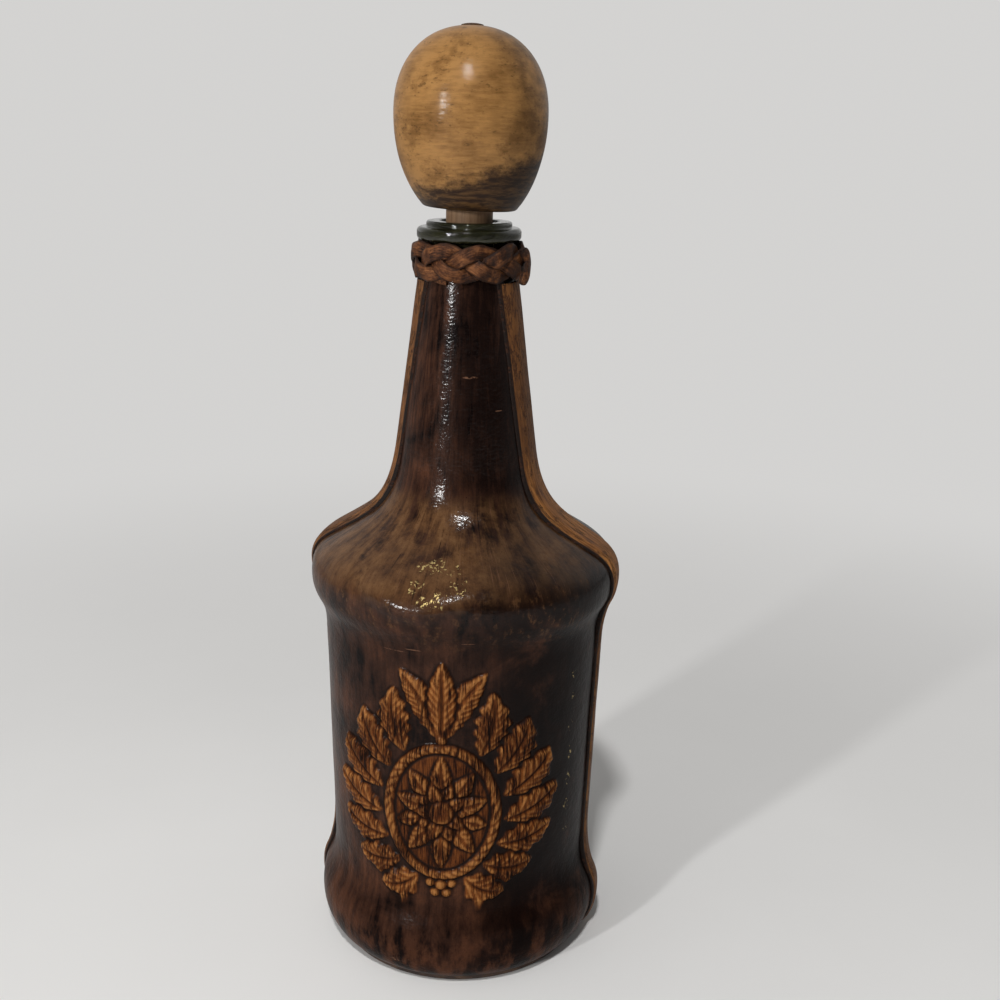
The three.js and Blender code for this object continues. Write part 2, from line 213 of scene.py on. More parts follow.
def ripple(u: np.ndarray, v: np.ndarray, seed: int, shortest: float, longest: float) -> np.ndarray:
    """Makes the gentle unevenness of a hand-made surface.

    Args:
        u: First coordinate on the surface.
        v: Second coordinate on the surface.
        seed: Picks one pattern.
        shortest: Shortest wave.
        longest: Longest wave.

    Returns:
        Values between -1 and 1.
    """
    rng = np.random.default_rng(seed)
    total = np.zeros(np.broadcast(u, v).shape)
    waves = 9
    for _ in range(waves):
        heading, phase = rng.uniform(0, TURN, 2)
        number = TURN / rng.uniform(shortest, longest)
        total += np.sin(number * (u * math.cos(heading) + v * math.sin(heading)) + phase)
    return total / waves


# Meshes

def weave(rows: np.ndarray, close: bool = False) -> list[tuple[int, ...]]:
    """Joins rows of points into quads.

    Args:
        rows: Grid of vertex numbers.
        close: Whether each row's last point joins its first.

    Returns:
        The faces.
    """
    grid = np.concatenate([rows, rows[:, :1]], axis=1) if close else rows
    quads = np.stack([grid[:-1, :-1], grid[:-1, 1:], grid[1:, 1:], grid[1:, :-1]], axis=-1)
    return [tuple(q) for q in quads.reshape(-1, 4).tolist()]


def stitch(fine: np.ndarray, coarse: np.ndarray) -> list[tuple[int, ...]]:
    """Joins a fine edge with triangles to a coarse one that has every n-th of its points.

    Args:
        fine: Vertex numbers of the fine edge.
        coarse: Vertex numbers of the coarse edge.

    Returns:
        The faces.
    """
    pace = (len(fine) - 1) // (len(coarse) - 1)
    faces: list[tuple[int, ...]] = []
    for i, (a, b) in enumerate(zip(coarse[:-1], coarse[1:])):
        middle = i * pace + pace // 2
        faces += [(fine[j], fine[j + 1], a if j < middle else b) for j in range(i * pace, (i + 1) * pace)]
        faces.append((a, fine[middle], b))
    return [tuple(int(n) for n in f) for f in faces]


def piece_of(name: str, points: np.ndarray, faces: list[tuple[int, ...]], marks: Optional[Marks] = None,
             crease: float = 50.0) -> bpy.types.Object:
    """Makes a smooth-shaded object with its faces turned outwards.

    Args:
        name: Name of the piece.
        points: Vertices in millimetres.
        faces: Vertex numbers of each face.
        marks: Named values for each vertex that the finish reads.
        crease: Edges sharper than this many degrees stay sharp.

    Returns:
        The object, linked to the scene.
    """
    mesh = bpy.data.meshes.new(name)
    mesh.from_pydata((np.asarray(points) * MM).tolist(), [], faces)
    shell = bmesh.new()
    shell.from_mesh(mesh)
    bmesh.ops.recalc_face_normals(shell, faces=shell.faces)
    shell.to_mesh(mesh)
    shell.free()
    mesh.shade_smooth()
    mesh.set_sharp_from_angle(angle=math.radians(crease))
    for mark, values in (marks or {}).items():
        layer = mesh.attributes.new(mark, "FLOAT", "POINT")
        layer.data.foreach_set("value", np.asarray(values, np.float32).ravel())
    made = bpy.data.objects.new(name, mesh)
    bpy.context.scene.collection.objects.link(made)
    return made


def turned(name: str, outline: np.ndarray, sides: int = 128, crease: float = 50.0) -> bpy.types.Object:
    """Turns a (radius, height) outline, whose two ends lie on the axis, about Z.

    Args:
        name: Name of the piece.
        outline: Points from one end on the axis to the other.
        sides: Number of facets round the axis.
        crease: Edges sharper than this many degrees stay sharp.

    Returns:
        The object.
    """
    ring = outline[1:-1]
    bearing = np.arange(sides) * TURN / sides
    wall = np.stack([np.outer(ring[:, 0], np.cos(bearing)), np.outer(ring[:, 0], np.sin(bearing)),
                     np.repeat(ring[:, 1:], sides, axis=1)], axis=-1)
    points = np.concatenate([wall.reshape(-1, 3), [[0, 0, outline[0, 1]], [0, 0, outline[-1, 1]]]])
    numbers = np.arange(len(ring) * sides).reshape(len(ring), sides)
    faces = weave(numbers, close=True)
    for pole, edge in ((len(points) - 2, numbers[0]), (len(points) - 1, numbers[-1])):
        faces += [(pole, int(a), int(b)) for a, b in zip(edge, np.roll(edge, -1))]
    return piece_of(name, points, faces, crease=crease)


def lofted(name: str, loops: np.ndarray, marks: Optional[Marks] = None,
           ring: bool = False) -> bpy.types.Object:
    """Makes a bar from closed sections of equal point counts.

    Args:
        name: Name of the piece.
        loops: Sections, each a row of points.
        marks: Named values for each vertex.
        ring: Whether the last section joins the first; otherwise both ends are closed.

    Returns:
        The object.
    """
    count, sides = loops.shape[:2]
    numbers = np.arange(count * sides).reshape(count, sides)
    faces = weave(np.concatenate([numbers, numbers[:1]]) if ring else numbers, close=True)
    for end in () if ring else (numbers[0], numbers[-1]):
        faces += weave(np.stack([end[:sides // 2], end[::-1][:sides // 2]]))
    return piece_of(name, loops.reshape(-1, 3), faces, marks)


# Finishes

class NodeBench:
    """One material's node tree, which ends in a Principled shader. Pitches and depths are in millimetres."""

    def __init__(self, name: str) -> None:
        """Starts a material.

        Args:
            name: Its name.
        """
        self.material = bpy.data.materials.new(name)
        self.material.use_nodes = True
        self.tree = self.material.node_tree
        self.shader = self.tree.nodes["Principled BSDF"]
        self.place = self.node("ShaderNodeTexCoord").outputs["Object"]

    def node(self, kind: str, **settings: object) -> bpy.types.Node:
        """Adds a node.

        Args:
            kind: Blender's name for its type.
            settings: Its options by name.

        Returns:
            The node.
        """
        made = self.tree.nodes.new(kind)
        for key, value in settings.items():
            setattr(made, key, value)
        return made

    def feed(self, socket: Socket, value: Feed) -> None:
        """Links a socket to a node's output, or sets its value.

        Args:
            socket: The socket that is fed.
            value: An output, a number or a colour.
        """
        if isinstance(value, Socket):
            self.tree.links.new(value, socket)
        elif socket.type == "RGBA":
            socket.default_value = (*value, 1.0) if isinstance(value, tuple) else (value, value, value, 1.0)
        else:
            socket.default_value = value

    def surface(self, **sockets: Feed) -> None:
        """Feeds the shader's sockets.

        Args:
            sockets: What each takes, by its name in lower case with underscores.
        """
        names = {s.name.lower().replace(" ", "_"): s for s in self.shader.inputs}
        for key, value in sockets.items():
            self.feed(names[key], value)

    def mark(self, name: str) -> Socket:
        """Reads a named value of the mesh's vertices."""
        return self.node("ShaderNodeAttribute", attribute_name=name).outputs["Fac"]

    def axes(self, vector: Socket) -> tuple[Socket, ...]:
        """Splits a vector.

        Args:
            vector: The vector.

        Returns:
            Its three parts.
        """
        split = self.node("ShaderNodeSeparateXYZ")
        self.feed(split.inputs[0], vector)
        return tuple(split.outputs)

    def vector(self, x: Feed, y: Feed, z: Feed) -> Socket:
        """Joins three numbers.

        Args:
            x: First part.
            y: Second part.
            z: Third part.

        Returns:
            The vector.
        """
        joined = self.node("ShaderNodeCombineXYZ")
        for socket, value in zip(joined.inputs, (x, y, z)):
            self.feed(socket, value)
        return joined.outputs[0]

    def sum(self, operation: str, first: Feed, second: Feed = 0.0) -> Socket:
        """Works out one arithmetic operation.

        Args:
            operation: Blender's name for it.
            first: First number.
            second: Second number, where it needs one.

        Returns:
            The result.
        """
        worked = self.node("ShaderNodeMath", operation=operation)
        self.feed(worked.inputs[0], first)
        self.feed(worked.inputs[1], second)
        return worked.outputs[0]

    def times(self, first: Feed, *others: Feed) -> Socket:
        """Multiplies numbers.

        Args:
            first: First number.
            others: The rest.

        Returns:
            Their product.
        """
        for other in others:
            first = self.sum("MULTIPLY", first, other)
        return first

    def weighed(self, *parts: tuple[Feed, float]) -> Socket:
        """Adds up numbers, each times its own weight.

        Args:
            parts: Each number with its weight.

        Returns:
            The sum.
        """
        total, *others = (self.times(value, weight) for value, weight in parts)
        for other in others:
            total = self.sum("ADD", total, other)
        return total

    def stretched(self, vector: Socket, by: Triple) -> Socket:
        """Scales a vector along its axes.

        Args:
            vector: The vector.
            by: Factor for each axis; a small one stretches what is drawn along it.

        Returns:
            The scaled vector.
        """
        scaled = self.node("ShaderNodeVectorMath", operation="MULTIPLY")
        self.feed(scaled.inputs[0], vector)
        scaled.inputs[1].default_value = by
        return scaled.outputs[0]

    def noise(self, vector: Socket, pitch: float, detail: float = 4.0, rough: float = 0.55,
              swirl: float = 0.0) -> Socket:
        """Adds cloudy noise.

        Args:
            vector: Place on the surface.
            pitch: About how far apart the lumps are.
            detail: How many finer layers lie on it.
            rough: How much these layers show.
            swirl: How far the lumps are twisted.

        Returns:
            Values about 0.5.
        """
        cloud = self.node("ShaderNodeTexNoise")
        self.feed(cloud.inputs["Vector"], vector)
        for key, value in (("Scale", 1 / (pitch * MM)), ("Detail", detail), ("Roughness", rough),
                           ("Distortion", swirl)):
            self.feed(cloud.inputs[key], value)
        return cloud.outputs["Fac"]

    def cells(self, vector: Socket, pitch: float, feature: str = "F1") -> Socket:
        """Adds a pattern of cells.

        Args:
            vector: Place on the surface.
            pitch: About how far apart the cells are.
            feature: Blender's name for what is measured in a cell.

        Returns:
            The distance in each cell.
        """
        pattern = self.node("ShaderNodeTexVoronoi", feature=feature)
        self.feed(pattern.inputs["Vector"], vector)
        self.feed(pattern.inputs["Scale"], 1 / (pitch * MM))
        return pattern.outputs["Distance"]

    def mask(self, value: Feed, low: float, high: float) -> Socket:
        """Rises smoothly from 0 to 1.

        Args:
            value: What is tested.
            low: Where it gives 0.
            high: Where it gives 1, which may be the smaller number.

        Returns:
            The share from 0 to 1.
        """
        ranged = self.node("ShaderNodeMapRange", interpolation_type="SMOOTHSTEP")
        bottom, top = min(low, high), max(low, high)
        ends = (0.0, 1.0) if low < high else (1.0, 0.0)
        for socket, number in zip(ranged.inputs, (value, bottom, top, *ends)):
            self.feed(socket, number)
        return ranged.outputs[0]

    def past(self, length: Feed, low: float, high: float) -> Socket:
        """Rises from 0 to 1 as a mask does, between lengths in millimetres."""
        return self.mask(length, low * MM, high * MM)

    def between(self, length: Feed, low: float, high: float, fade: float) -> Socket:
        """Is 1 between two lengths in millimetres and fades out beyond them."""
        return self.times(self.past(length, low - fade, low), self.past(length, high + fade, high))

    def mix(self, share: Feed, first: Feed, second: Feed) -> Socket:
        """Blends two colours.

        Args:
            share: Share of the second colour.
            first: First colour.
            second: Second colour.

        Returns:
            The blended colour.
        """
        blend = self.node("ShaderNodeMix", data_type="RGBA")
        for place, value in zip((MIX_SHARE, *MIX_COLOURS), (share, first, second)):
            self.feed(blend.inputs[place], value)
        return blend.outputs[MIXED_COLOUR]

    def ramp(self, value: Feed, *stops: tuple[float, Colour]) -> Socket:
        """Turns a number into a colour.

        Args:
            value: The number.
            stops: Pairs of a number and the colour that it gives, rising.

        Returns:
            The colour.
        """
        scale = self.node("ShaderNodeValToRGB")
        self.feed(scale.inputs[0], value)
        elements = scale.color_ramp.elements
        while len(elements) < len(stops):
            elements.new(0.5)
        for element, (position, colour) in zip(elements, stops):
            element.position = position
            element.color = (*colour, 1.0)
        return scale.outputs[0]

    def level(self, value: Feed, low: float, high: float) -> Socket:
        """Spreads a share from 0 to 1 over another range.

        Args:
            value: The share.
            low: What 0 gives.
            high: What 1 gives.

        Returns:
            The spread value.
        """
        ranged = self.node("ShaderNodeMapRange")
        for socket, number in zip(ranged.inputs, (value, 0.0, 1.0, low, high)):
            self.feed(socket, number)
        return ranged.outputs[0]

    def bump(self, height: Feed, depth: float, over: Optional[Socket] = None) -> Socket:
        """Raises the surface.

        Args:
            height: How high it is, from 0 to 1.
            depth: What 1 stands for.
            over: Normal of an earlier bump that this one lies on.

        Returns:
            The normal.
        """
        raised = self.node("ShaderNodeBump")
        self.feed(raised.inputs["Strength"], 1.0)
        self.feed(raised.inputs["Distance"], depth * MM)
        self.feed(raised.inputs["Height"], height)
        if over is not None:
            self.feed(raised.inputs["Normal"], over)
        return raised.outputs[0]

    def bearing(self) -> Socket:
        """Gives the angle from the front towards +X, in radians."""
        x, y, _ = self.axes(self.place)
        return self.sum("ARCTAN2", x, self.sum("MULTIPLY", y, -1.0))

    def rightward(self) -> Socket:
        """Gives the sine of the bearing: -1 on the left, 1 on the right."""
        return self.sum("SINE", self.bearing())

    def wrapped(self, radius: float) -> Socket:
        """Gives the place as if it were on a cylinder, so that grain falls down a slope.

        Args:
            radius: The cylinder's radius.

        Returns:
            The place.
        """
        _, _, z = self.axes(self.place)
        turn = self.bearing()
        return self.vector(*(self.times(self.sum(kind, turn), radius * MM) for kind in ("SINE", "COSINE")), z)


class Finish(ABC):
    """A surface finish, drawn as one material for a slot of the record."""

    slot: ClassVar[str]

    @abstractmethod
    def paint(self, bench: NodeBench) -> None:
        """Lays out the finish's nodes.

        Args:
            bench: The material's bench.
        """

    def material(self) -> bpy.types.Material:
        """Makes the finish's material.

        Returns:
            The material.
        """
        bench = NodeBench(self.slot)
        self.paint(bench)
        return bench.material


@dataclass(frozen=True)
class CoverLeather(Finish):
    """Black-brown polished leather with a rubbed golden shoulder and a tan ornament."""

    slot: ClassVar[str] = "cover_leather"
    # Darkest tone: the leather's own dark staining, also mixed in as painted shade on the right side
    stain_and_shade: Colour = (0.0036, 0.0016, 0.0013)
    umber: Colour = (0.030, 0.0125, 0.0075)
    russet: Colour = (0.078, 0.030, 0.0150)
    smoke: Colour = (0.030, 0.0135, 0.0075)
    patina: Colour = (0.086, 0.040, 0.0165)
    rubbed: Colour = (0.135, 0.067, 0.0280)
    tan_bright: Colour = (0.345, 0.148, 0.044)
    tan: Colour = (0.150, 0.046, 0.0110)
    tan_deep: Colour = (0.054, 0.0158, 0.0052)
    crevice: Colour = (0.008, 0.0034, 0.0022)
    gilt: Colour = (0.56, 0.42, 0.17)
    scratch: Colour = (0.160, 0.078, 0.046)
    round: float = 45.0
    shoulder: Pair = (138.0, 154.0)
    shoulder_fade: float = 8.0
    # Heights where painted shade on the neck's right side sets in, and where the painted shade on the body's
    # right side deepens downwards and ends at the top
    darkening_sets_in: Pair = (154.0, 165.0)
    shade_deepens: Pair = (150.0, 130.0)
    shade_ends: Pair = (168.0, 154.0)
    under_lip: Pair = (122.0, 135.0)
    under_lip_fade: float = 5.0
    foot: Pair = (26.0, 8.0)
    scuffs_set_in: Pair = (44.0, 26.0)
    wax_sets_in: Pair = (122.0, 132.0)
    garland_middle: Triple = (-2.0, -44.5, 139.5)
    garland_reach: Pair = (4.2, 8.6)
    garland_fade: float = 0.8
    lozenge_bearing: float = 60.0
    lozenge_heights: Pair = (48.0, 104.0)
    lozenge_fade: float = 1.0
    lozenge_pitch: float = 9.5
    lozenge_half: Pair = (1.7, 2.6)
    scratches: tuple[tuple[float, float, float, float], ...] = (
        (3.4, 196.4, 2.6, 0.45), (-15.0, 116.6, 4.2, 0.16), (-9.0, 117.8, 3.0, 0.20), (-14.6, 8.4, 1.7, 0.8),
        (12.0, 186.0, 1.1, 0.22), (8.0, 121.5, 2.4, 0.14),
    )

    def paint(self, bench: NodeBench) -> None:
        """Lays out the leather's stains, painted shade on its right side, rubbed patina, ornament colours,
        worn gilding and grain.

        Args:
            bench: The material's bench.
        """
        x, _, z = bench.axes(bench.place)
        arc = bench.times(bench.bearing(), self.round * MM)
        flat, rightward = bench.wrapped(self.round), bench.rightward()
        mottle = bench.noise(bench.place, 24.0, detail=6.0, rough=0.62, swirl=0.5)
        streak = bench.noise(bench.stretched(flat, (1.0, 1.0, 0.075)), 1.3, detail=3.0)
        blotch = bench.noise(bench.stretched(flat, (1.0, 1.0, 0.4)), 5.5, detail=5.0, rough=0.65)
        tone = bench.weighed((mottle, 0.46), (streak, 0.14), (blotch, 0.40))
        colour = bench.ramp(tone, (0.41, self.stain_and_shade), (0.51, self.umber), (0.64, self.russet))

        on_shoulder = bench.between(z, *self.shoulder, self.shoulder_fade)
        cloud = bench.noise(bench.place, 7.0, detail=7.0, rough=0.68)
        drift = bench.noise(bench.stretched(flat, (1.0, 1.0, 0.4)), 4.5, detail=6.0, rough=0.66, swirl=0.6)
        dapple = bench.weighed((cloud, 0.5), (drift, 0.5))
        golden = bench.ramp(dapple, (0.39, self.smoke), (0.50, self.patina), (0.61, self.rubbed))
        worn = bench.times(on_shoulder, bench.mask(bench.weighed((mottle, 0.6), (dapple, 0.4)), 0.39, 0.51))
        colour = bench.mix(bench.times(worn, 0.94), colour, golden)
        brush = bench.noise(bench.stretched(flat, (1.0, 1.0, 0.05)), 1.2, detail=3.0, rough=0.6)
        strokes = bench.times(bench.mask(brush, 0.59, 0.68), bench.mask(cloud, 0.56, 0.44), on_shoulder)
        colour = bench.mix(bench.times(strokes, 0.75), colour, self.stain_and_shade)
        # Painted shade: the neck's right side is darkened in blotches, partly real staining; the body's right
        # side, away from the key light, is darkened as painted shade, most on the waist
        neck_stain_and_shade = bench.times(bench.past(z, *self.darkening_sets_in), bench.mask(blotch, 0.34, 0.54),
                            bench.mask(rightward, -0.35, 0.30))
        lower = bench.level(bench.past(z, *self.shade_deepens), 0.45, 1.0)
        shaded_side = bench.times(lower, bench.past(z, *self.shade_ends), bench.mask(rightward, 0.02, 0.52),
                            bench.mask(mottle, 0.72, 0.50))
        colour = bench.mix(bench.times(bench.sum("MAXIMUM", neck_stain_and_shade, shaded_side), 0.9), colour, self.stain_and_shade)
        hairs = bench.noise(bench.stretched(flat, (1.0, 1.0, 0.04)), 0.34, detail=2.0)
        colour = bench.mix(bench.times(bench.mask(hairs, 0.62, 0.72), worn, 0.35), colour, self.scratch)
        under_lip = bench.between(z, *self.under_lip, self.under_lip_fade)
        speckle = bench.noise(bench.stretched(flat, (1.0, 1.0, 0.6)), 1.9, detail=5.0, rough=0.72)
        flecked = bench.times(under_lip, bench.mask(speckle, 0.52, 0.66), bench.mask(mottle, 0.40, 0.56))
        colour = bench.mix(bench.times(flecked, 0.7), colour, self.patina)
        on_foot = bench.times(bench.past(z, *self.foot), bench.mask(blotch, 0.44, 0.62))
        colour = bench.mix(bench.times(on_foot, 0.75), colour, self.russet)

        ornament, hollow, ridge = (bench.mark(name) for name in ("ornament", "hollow", "ridge"))
        tooled = bench.noise(bench.stretched(flat, (1.0, 1.0, 0.10)), 0.55, detail=3.0, rough=0.6)
        warm = bench.weighed((tooled, 0.5), (blotch, 0.25), (mottle, 0.25))
        figure = bench.ramp(warm, (0.41, self.crevice), (0.47, self.tan_deep), (0.58, self.tan))
        rubbed_high = bench.times(ridge, bench.mask(warm, 0.43, 0.57))
        figure = bench.mix(bench.times(rubbed_high, 0.85), figure, self.tan_bright)
        colour = bench.mix(bench.times(ornament, 0.94), colour, figure)
        colour = bench.mix(hollow, colour, self.crevice)

        colour = bench.mix(bench.times(self.scoring(bench, x, z), 0.7), colour, self.scratch)
        gilded = self.gilding(bench, arc, z)
        colour = bench.mix(gilded, colour, self.gilt)

        pebble = bench.cells(bench.place, 0.8, "SMOOTH_F1")
        pores = bench.noise(bench.place, 0.42, detail=3.0, rough=0.6)
        colour = bench.mix(bench.mask(pores, 0.60, 0.78), colour, self.stain_and_shade)
        swell = bench.noise(bench.place, 6.0, detail=3.0)
        grain = bench.bump(swell, 0.30, bench.bump(pebble, 0.07, bench.bump(pores, 0.045)))
        lines = bench.bump(bench.times(tooled, ornament), 0.16, grain)
        beads = bench.noise(bench.stretched(bench.place, (0.8, 0.8, 1.3)), 1.15, detail=1.0)
        polish = bench.bump(swell, 0.22, bench.bump(beads, 0.095, bench.bump(pores, 0.020)))
        gloss = bench.sum("ADD", bench.level(mottle, 0.24, 0.40), bench.times(ornament, 0.14))
        scuffed = bench.sum("MAXIMUM", bench.past(z, *self.scuffs_set_in), ornament)
        waxed = bench.sum("ADD", bench.level(scuffed, 0.14, 0.025),
                          bench.times(bench.past(z, *self.wax_sets_in), 0.16))
        bench.surface(base_color=colour, roughness=gloss, normal=lines, metallic=bench.times(gilded, 0.5),
                      specular_ior_level=0.02, coat_weight=waxed, coat_roughness=0.15, coat_normal=polish)

    def scoring(self, bench: NodeBench, x: Socket, z: Socket) -> Socket:
        """Marks the short level scratches and scuffs.

        Args:
            bench: The material's bench.
            x: Place across the front.
            z: Height.

        Returns:
            1 on a scratch, 0 elsewhere.
        """
        waver = bench.noise(bench.place, 1.5, detail=3.0)
        scored: Feed = 0.0
        for across, height, half_long, half_wide in self.scratches:
            along = bench.times(bench.sum("SUBTRACT", x, across * MM), 1 / (half_long * MM))
            aside = bench.times(bench.sum("SUBTRACT", z, height * MM), 1 / (half_wide * MM))
            far = bench.sum("ADD", bench.times(along, along), bench.times(aside, aside))
            scored = bench.sum("MAXIMUM", scored, bench.mask(far, 1.0, 0.4))
        _, y, _ = bench.axes(bench.place)
        return bench.times(scored, bench.mask(waver, 0.38, 0.52), bench.sum("LESS_THAN", y, 0.0))

    def gilding(self, bench: NodeBench, arc: Socket, z: Socket) -> Socket:
        """Marks what is left of the gilding: flecks of a round garland and of a row of lozenges.

        Args:
            bench: The material's bench.
            arc: Place round the body.
            z: Height.

        Returns:
            1 where gold is left, 0 elsewhere.
        """
        away = bench.node("ShaderNodeVectorMath", operation="DISTANCE")
        bench.feed(away.inputs[0], bench.place)
        away.inputs[1].default_value = [v * MM for v in self.garland_middle]
        garland = bench.between(away.outputs["Value"], *self.garland_reach, self.garland_fade)
        flecks = bench.noise(bench.place, 1.25, detail=3.0, rough=0.6, swirl=0.6)
        clumps = bench.noise(bench.place, 4.6, detail=2.0)
        kept = bench.times(bench.mask(flecks, 0.55, 0.60), bench.mask(clumps, 0.45, 0.54))

        line = math.radians(self.lozenge_bearing) * self.round * MM
        wide, tall = (v * MM for v in self.lozenge_half)
        aside = bench.times(bench.sum("ABSOLUTE", bench.sum("SUBTRACT", arc, line)), 1 / wide)
        step = bench.times(bench.sum("PINGPONG", z, self.lozenge_pitch * MM / 2), 1 / tall)
        lozenge = bench.times(bench.mask(bench.sum("ADD", aside, step), 1.0, 0.85),
                              bench.between(z, *self.lozenge_heights, self.lozenge_fade))
        rested = bench.times(bench.mask(flecks, 0.54, 0.60), bench.mask(clumps, 0.40, 0.50), 0.7)
        return bench.sum("MAXIMUM", bench.times(garland, kept), bench.times(lozenge, rested))


@dataclass(frozen=True)
class StripLeather(Finish):
    """Tan vegetable leather, cracked along its length, with black-stained edges and painted shadow along
    them.
    """

    slot: ClassVar[str] = "strip_leather"
    pale: Colour = (0.420, 0.182, 0.052)
    deep: Colour = (0.215, 0.084, 0.024)
    # Dark brown of the grime up the neck and on the left strip's shoulder, also used as painted shade low on
    # the strips
    crack: Colour = (0.032, 0.0115, 0.0052)
    soot_and_shade: Colour = (0.085, 0.034, 0.0135)
    edge: Colour = (0.010, 0.0058, 0.0044)
    darkening_sets_in: Pair = (156.0, 176.0)
    side_darkening: Pair = (122.0, 158.0)
    handled_fade: float = 12.0
    shade_sets_in: Pair = (134.0, 110.0)

    def paint(self, bench: NodeBench) -> None:
        """Lays out the lengthwise grain, cracks, black edges, pores and painted shade low on the strips.

        Args:
            bench: The material's bench.
        """
        _, y, z = bench.axes(bench.place)
        along = bench.vector(y, bench.times(z, 0.06), 0.0)
        fibre = bench.noise(along, 0.7, detail=4.0, rough=0.65)
        wear = bench.noise(bench.place, 13.0, detail=5.0, rough=0.6)
        tone = bench.weighed((fibre, 0.55), (wear, 0.45))
        colour = bench.ramp(tone, (0.36, self.crack), (0.46, self.deep), (0.60, self.pale))
        pores = bench.noise(bench.place, 0.35, detail=2.0)
        colour = bench.mix(bench.mask(pores, 0.60, 0.75), colour, self.deep)
        up_neck = bench.times(bench.past(z, *self.darkening_sets_in), bench.mask(wear, 0.22, 0.46))
        colour = bench.mix(bench.times(up_neck, 0.75), colour, self.soot_and_shade)
        side_darkening = bench.times(bench.mask(bench.rightward(), 0.0, -0.5),
                              bench.between(z, *self.side_darkening, self.handled_fade))
        # Painted shade: the strips darken downwards from below the shoulder to the waist and foot
        lower = bench.past(z, *self.shade_sets_in)
        grime_and_shade = bench.sum("MAXIMUM", bench.times(side_darkening, 0.65), bench.times(lower, 0.6))
        colour = bench.mix(grime_and_shade, colour, self.soot_and_shade)
        # Dark band at the edges: black-stained edge, widened to take in painted shadow of the gap beside the
        # strip
        rim = bench.sum("ADD", bench.mark("edge"), bench.times(bench.sum("SUBTRACT", fibre, 0.5), 0.35))
        colour = bench.mix(bench.mask(rim, 0.45, 0.62), colour, self.edge)
        split = bench.noise(bench.vector(y, bench.times(z, 0.16), 0.0), 1.5, detail=5.0, rough=0.7)
        off_line = bench.sum("ABSOLUTE", bench.sum("SUBTRACT", split, 0.5))
        cracked = bench.times(bench.mask(off_line, 0.040, 0.008), bench.mask(wear, 0.40, 0.52))
        colour = bench.mix(bench.times(cracked, 0.85), colour, self.crack)
        height = bench.sum("SUBTRACT", fibre, bench.times(cracked, 0.7))
        grain = bench.bump(height, 0.22, bench.bump(pores, 0.06))
        bench.surface(base_color=colour, roughness=bench.level(wear, 0.44, 0.68), normal=grain,
                      specular_ior_level=0.12)


@dataclass(frozen=True)
class LaceLeather(Finish):
    """Worn red-brown lace with frayed, paler fibres on what stands proud."""

    slot: ClassVar[str] = "lace_leather"
    fibre: Colour = (0.230, 0.090, 0.032)
    brown: Colour = (0.070, 0.0245, 0.0094)
    dark: Colour = (0.013, 0.0060, 0.0040)

    def paint(self, bench: NodeBench) -> None:
        """Lays out the worn fibres along the lace, dark edges, creases and painted shade on the right side.

        Args:
            bench: The material's bench.
        """
        along, across = bench.mark("along"), bench.mark("across")
        run = bench.vector(bench.times(along, MM * 0.18), bench.times(across, MM), 0.0)
        strand = bench.noise(run, 0.45, detail=4.0, rough=0.65)
        wear = bench.noise(bench.place, 4.2, detail=5.0, rough=0.65)
        tone = bench.weighed((strand, 0.5), (wear, 0.5))
        colour = bench.ramp(tone, (0.39, self.dark), (0.48, self.brown), (0.64, self.fibre))
        patchy = bench.mask(bench.noise(bench.place, 11.0, detail=3.0), 0.50, 0.62)
        # Painted shade: the laces darken towards the right side, away from the light, where the wear noise is
        # low
        shaded_right = bench.times(bench.mask(bench.rightward(), -0.2, 0.5), bench.mask(wear, 0.60, 0.40))
        colour = bench.mix(bench.times(bench.sum("MAXIMUM", patchy, shaded_right), 0.65), colour, self.dark)
        colour = bench.mix(bench.times(bench.mark("edge"), 0.85), colour, self.dark)
        nap = bench.noise(bench.place, 0.3, detail=2.0)
        crosswise = bench.vector(bench.times(along, MM), bench.times(across, MM * 0.5), 0.0)
        wrinkle = bench.noise(crosswise, 1.3, detail=4.0)
        worked = bench.bump(strand, 0.25, bench.bump(nap, 0.05))
        creases = bench.bump(wear, 0.6, bench.bump(wrinkle, 0.35, worked))
        bench.surface(base_color=colour, roughness=bench.level(wear, 0.42, 0.72), normal=creases,
                      specular_ior_level=0.14)


@dataclass(frozen=True)
class SoleLeather(Finish):
    """Dark brown sole leather, scuffed by the table."""

    slot: ClassVar[str] = "sole_leather"
    dark: Colour = (0.022, 0.011, 0.0075)
    scuff: Colour = (0.115, 0.063, 0.036)

    def paint(self, bench: NodeBench) -> None:
        """Lays out the scuffs and the grain.

        Args:
            bench: The material's bench.
        """
        wear = bench.noise(bench.place, 9.0, detail=6.0, rough=0.7)
        pores = bench.noise(bench.place, 0.5, detail=3.0)
        bench.surface(base_color=bench.ramp(wear, (0.42, self.dark), (0.70, self.scuff)),
                      roughness=bench.level(wear, 0.5, 0.8), normal=bench.bump(pores, 0.08))


@dataclass(frozen=True)
class GreenGlass(Finish):
    """Dark olive bottle glass with faint swirls and a little grime."""

    slot: ClassVar[str] = "green_glass"
    clear: Colour = (0.036, 0.035, 0.015)
    smoky: Colour = (0.012, 0.012, 0.006)

    def paint(self, bench: NodeBench) -> None:
        """Lays out the tint, the moulding ripples and the grime.

        Args:
            bench: The material's bench.
        """
        swirl = bench.noise(bench.stretched(bench.place, (1.0, 1.0, 2.5)), 9.0, detail=4.0, swirl=1.0)
        grime = bench.noise(bench.place, 0.9, detail=4.0, rough=0.7)
        bench.surface(base_color=bench.ramp(swirl, (0.38, self.smoky), (0.64, self.clear)),
                      roughness=bench.level(bench.mask(grime, 0.50, 0.75), 0.07, 0.32),
                      normal=bench.bump(swirl, 0.30), transmission_weight=0.5, ior=1.52)


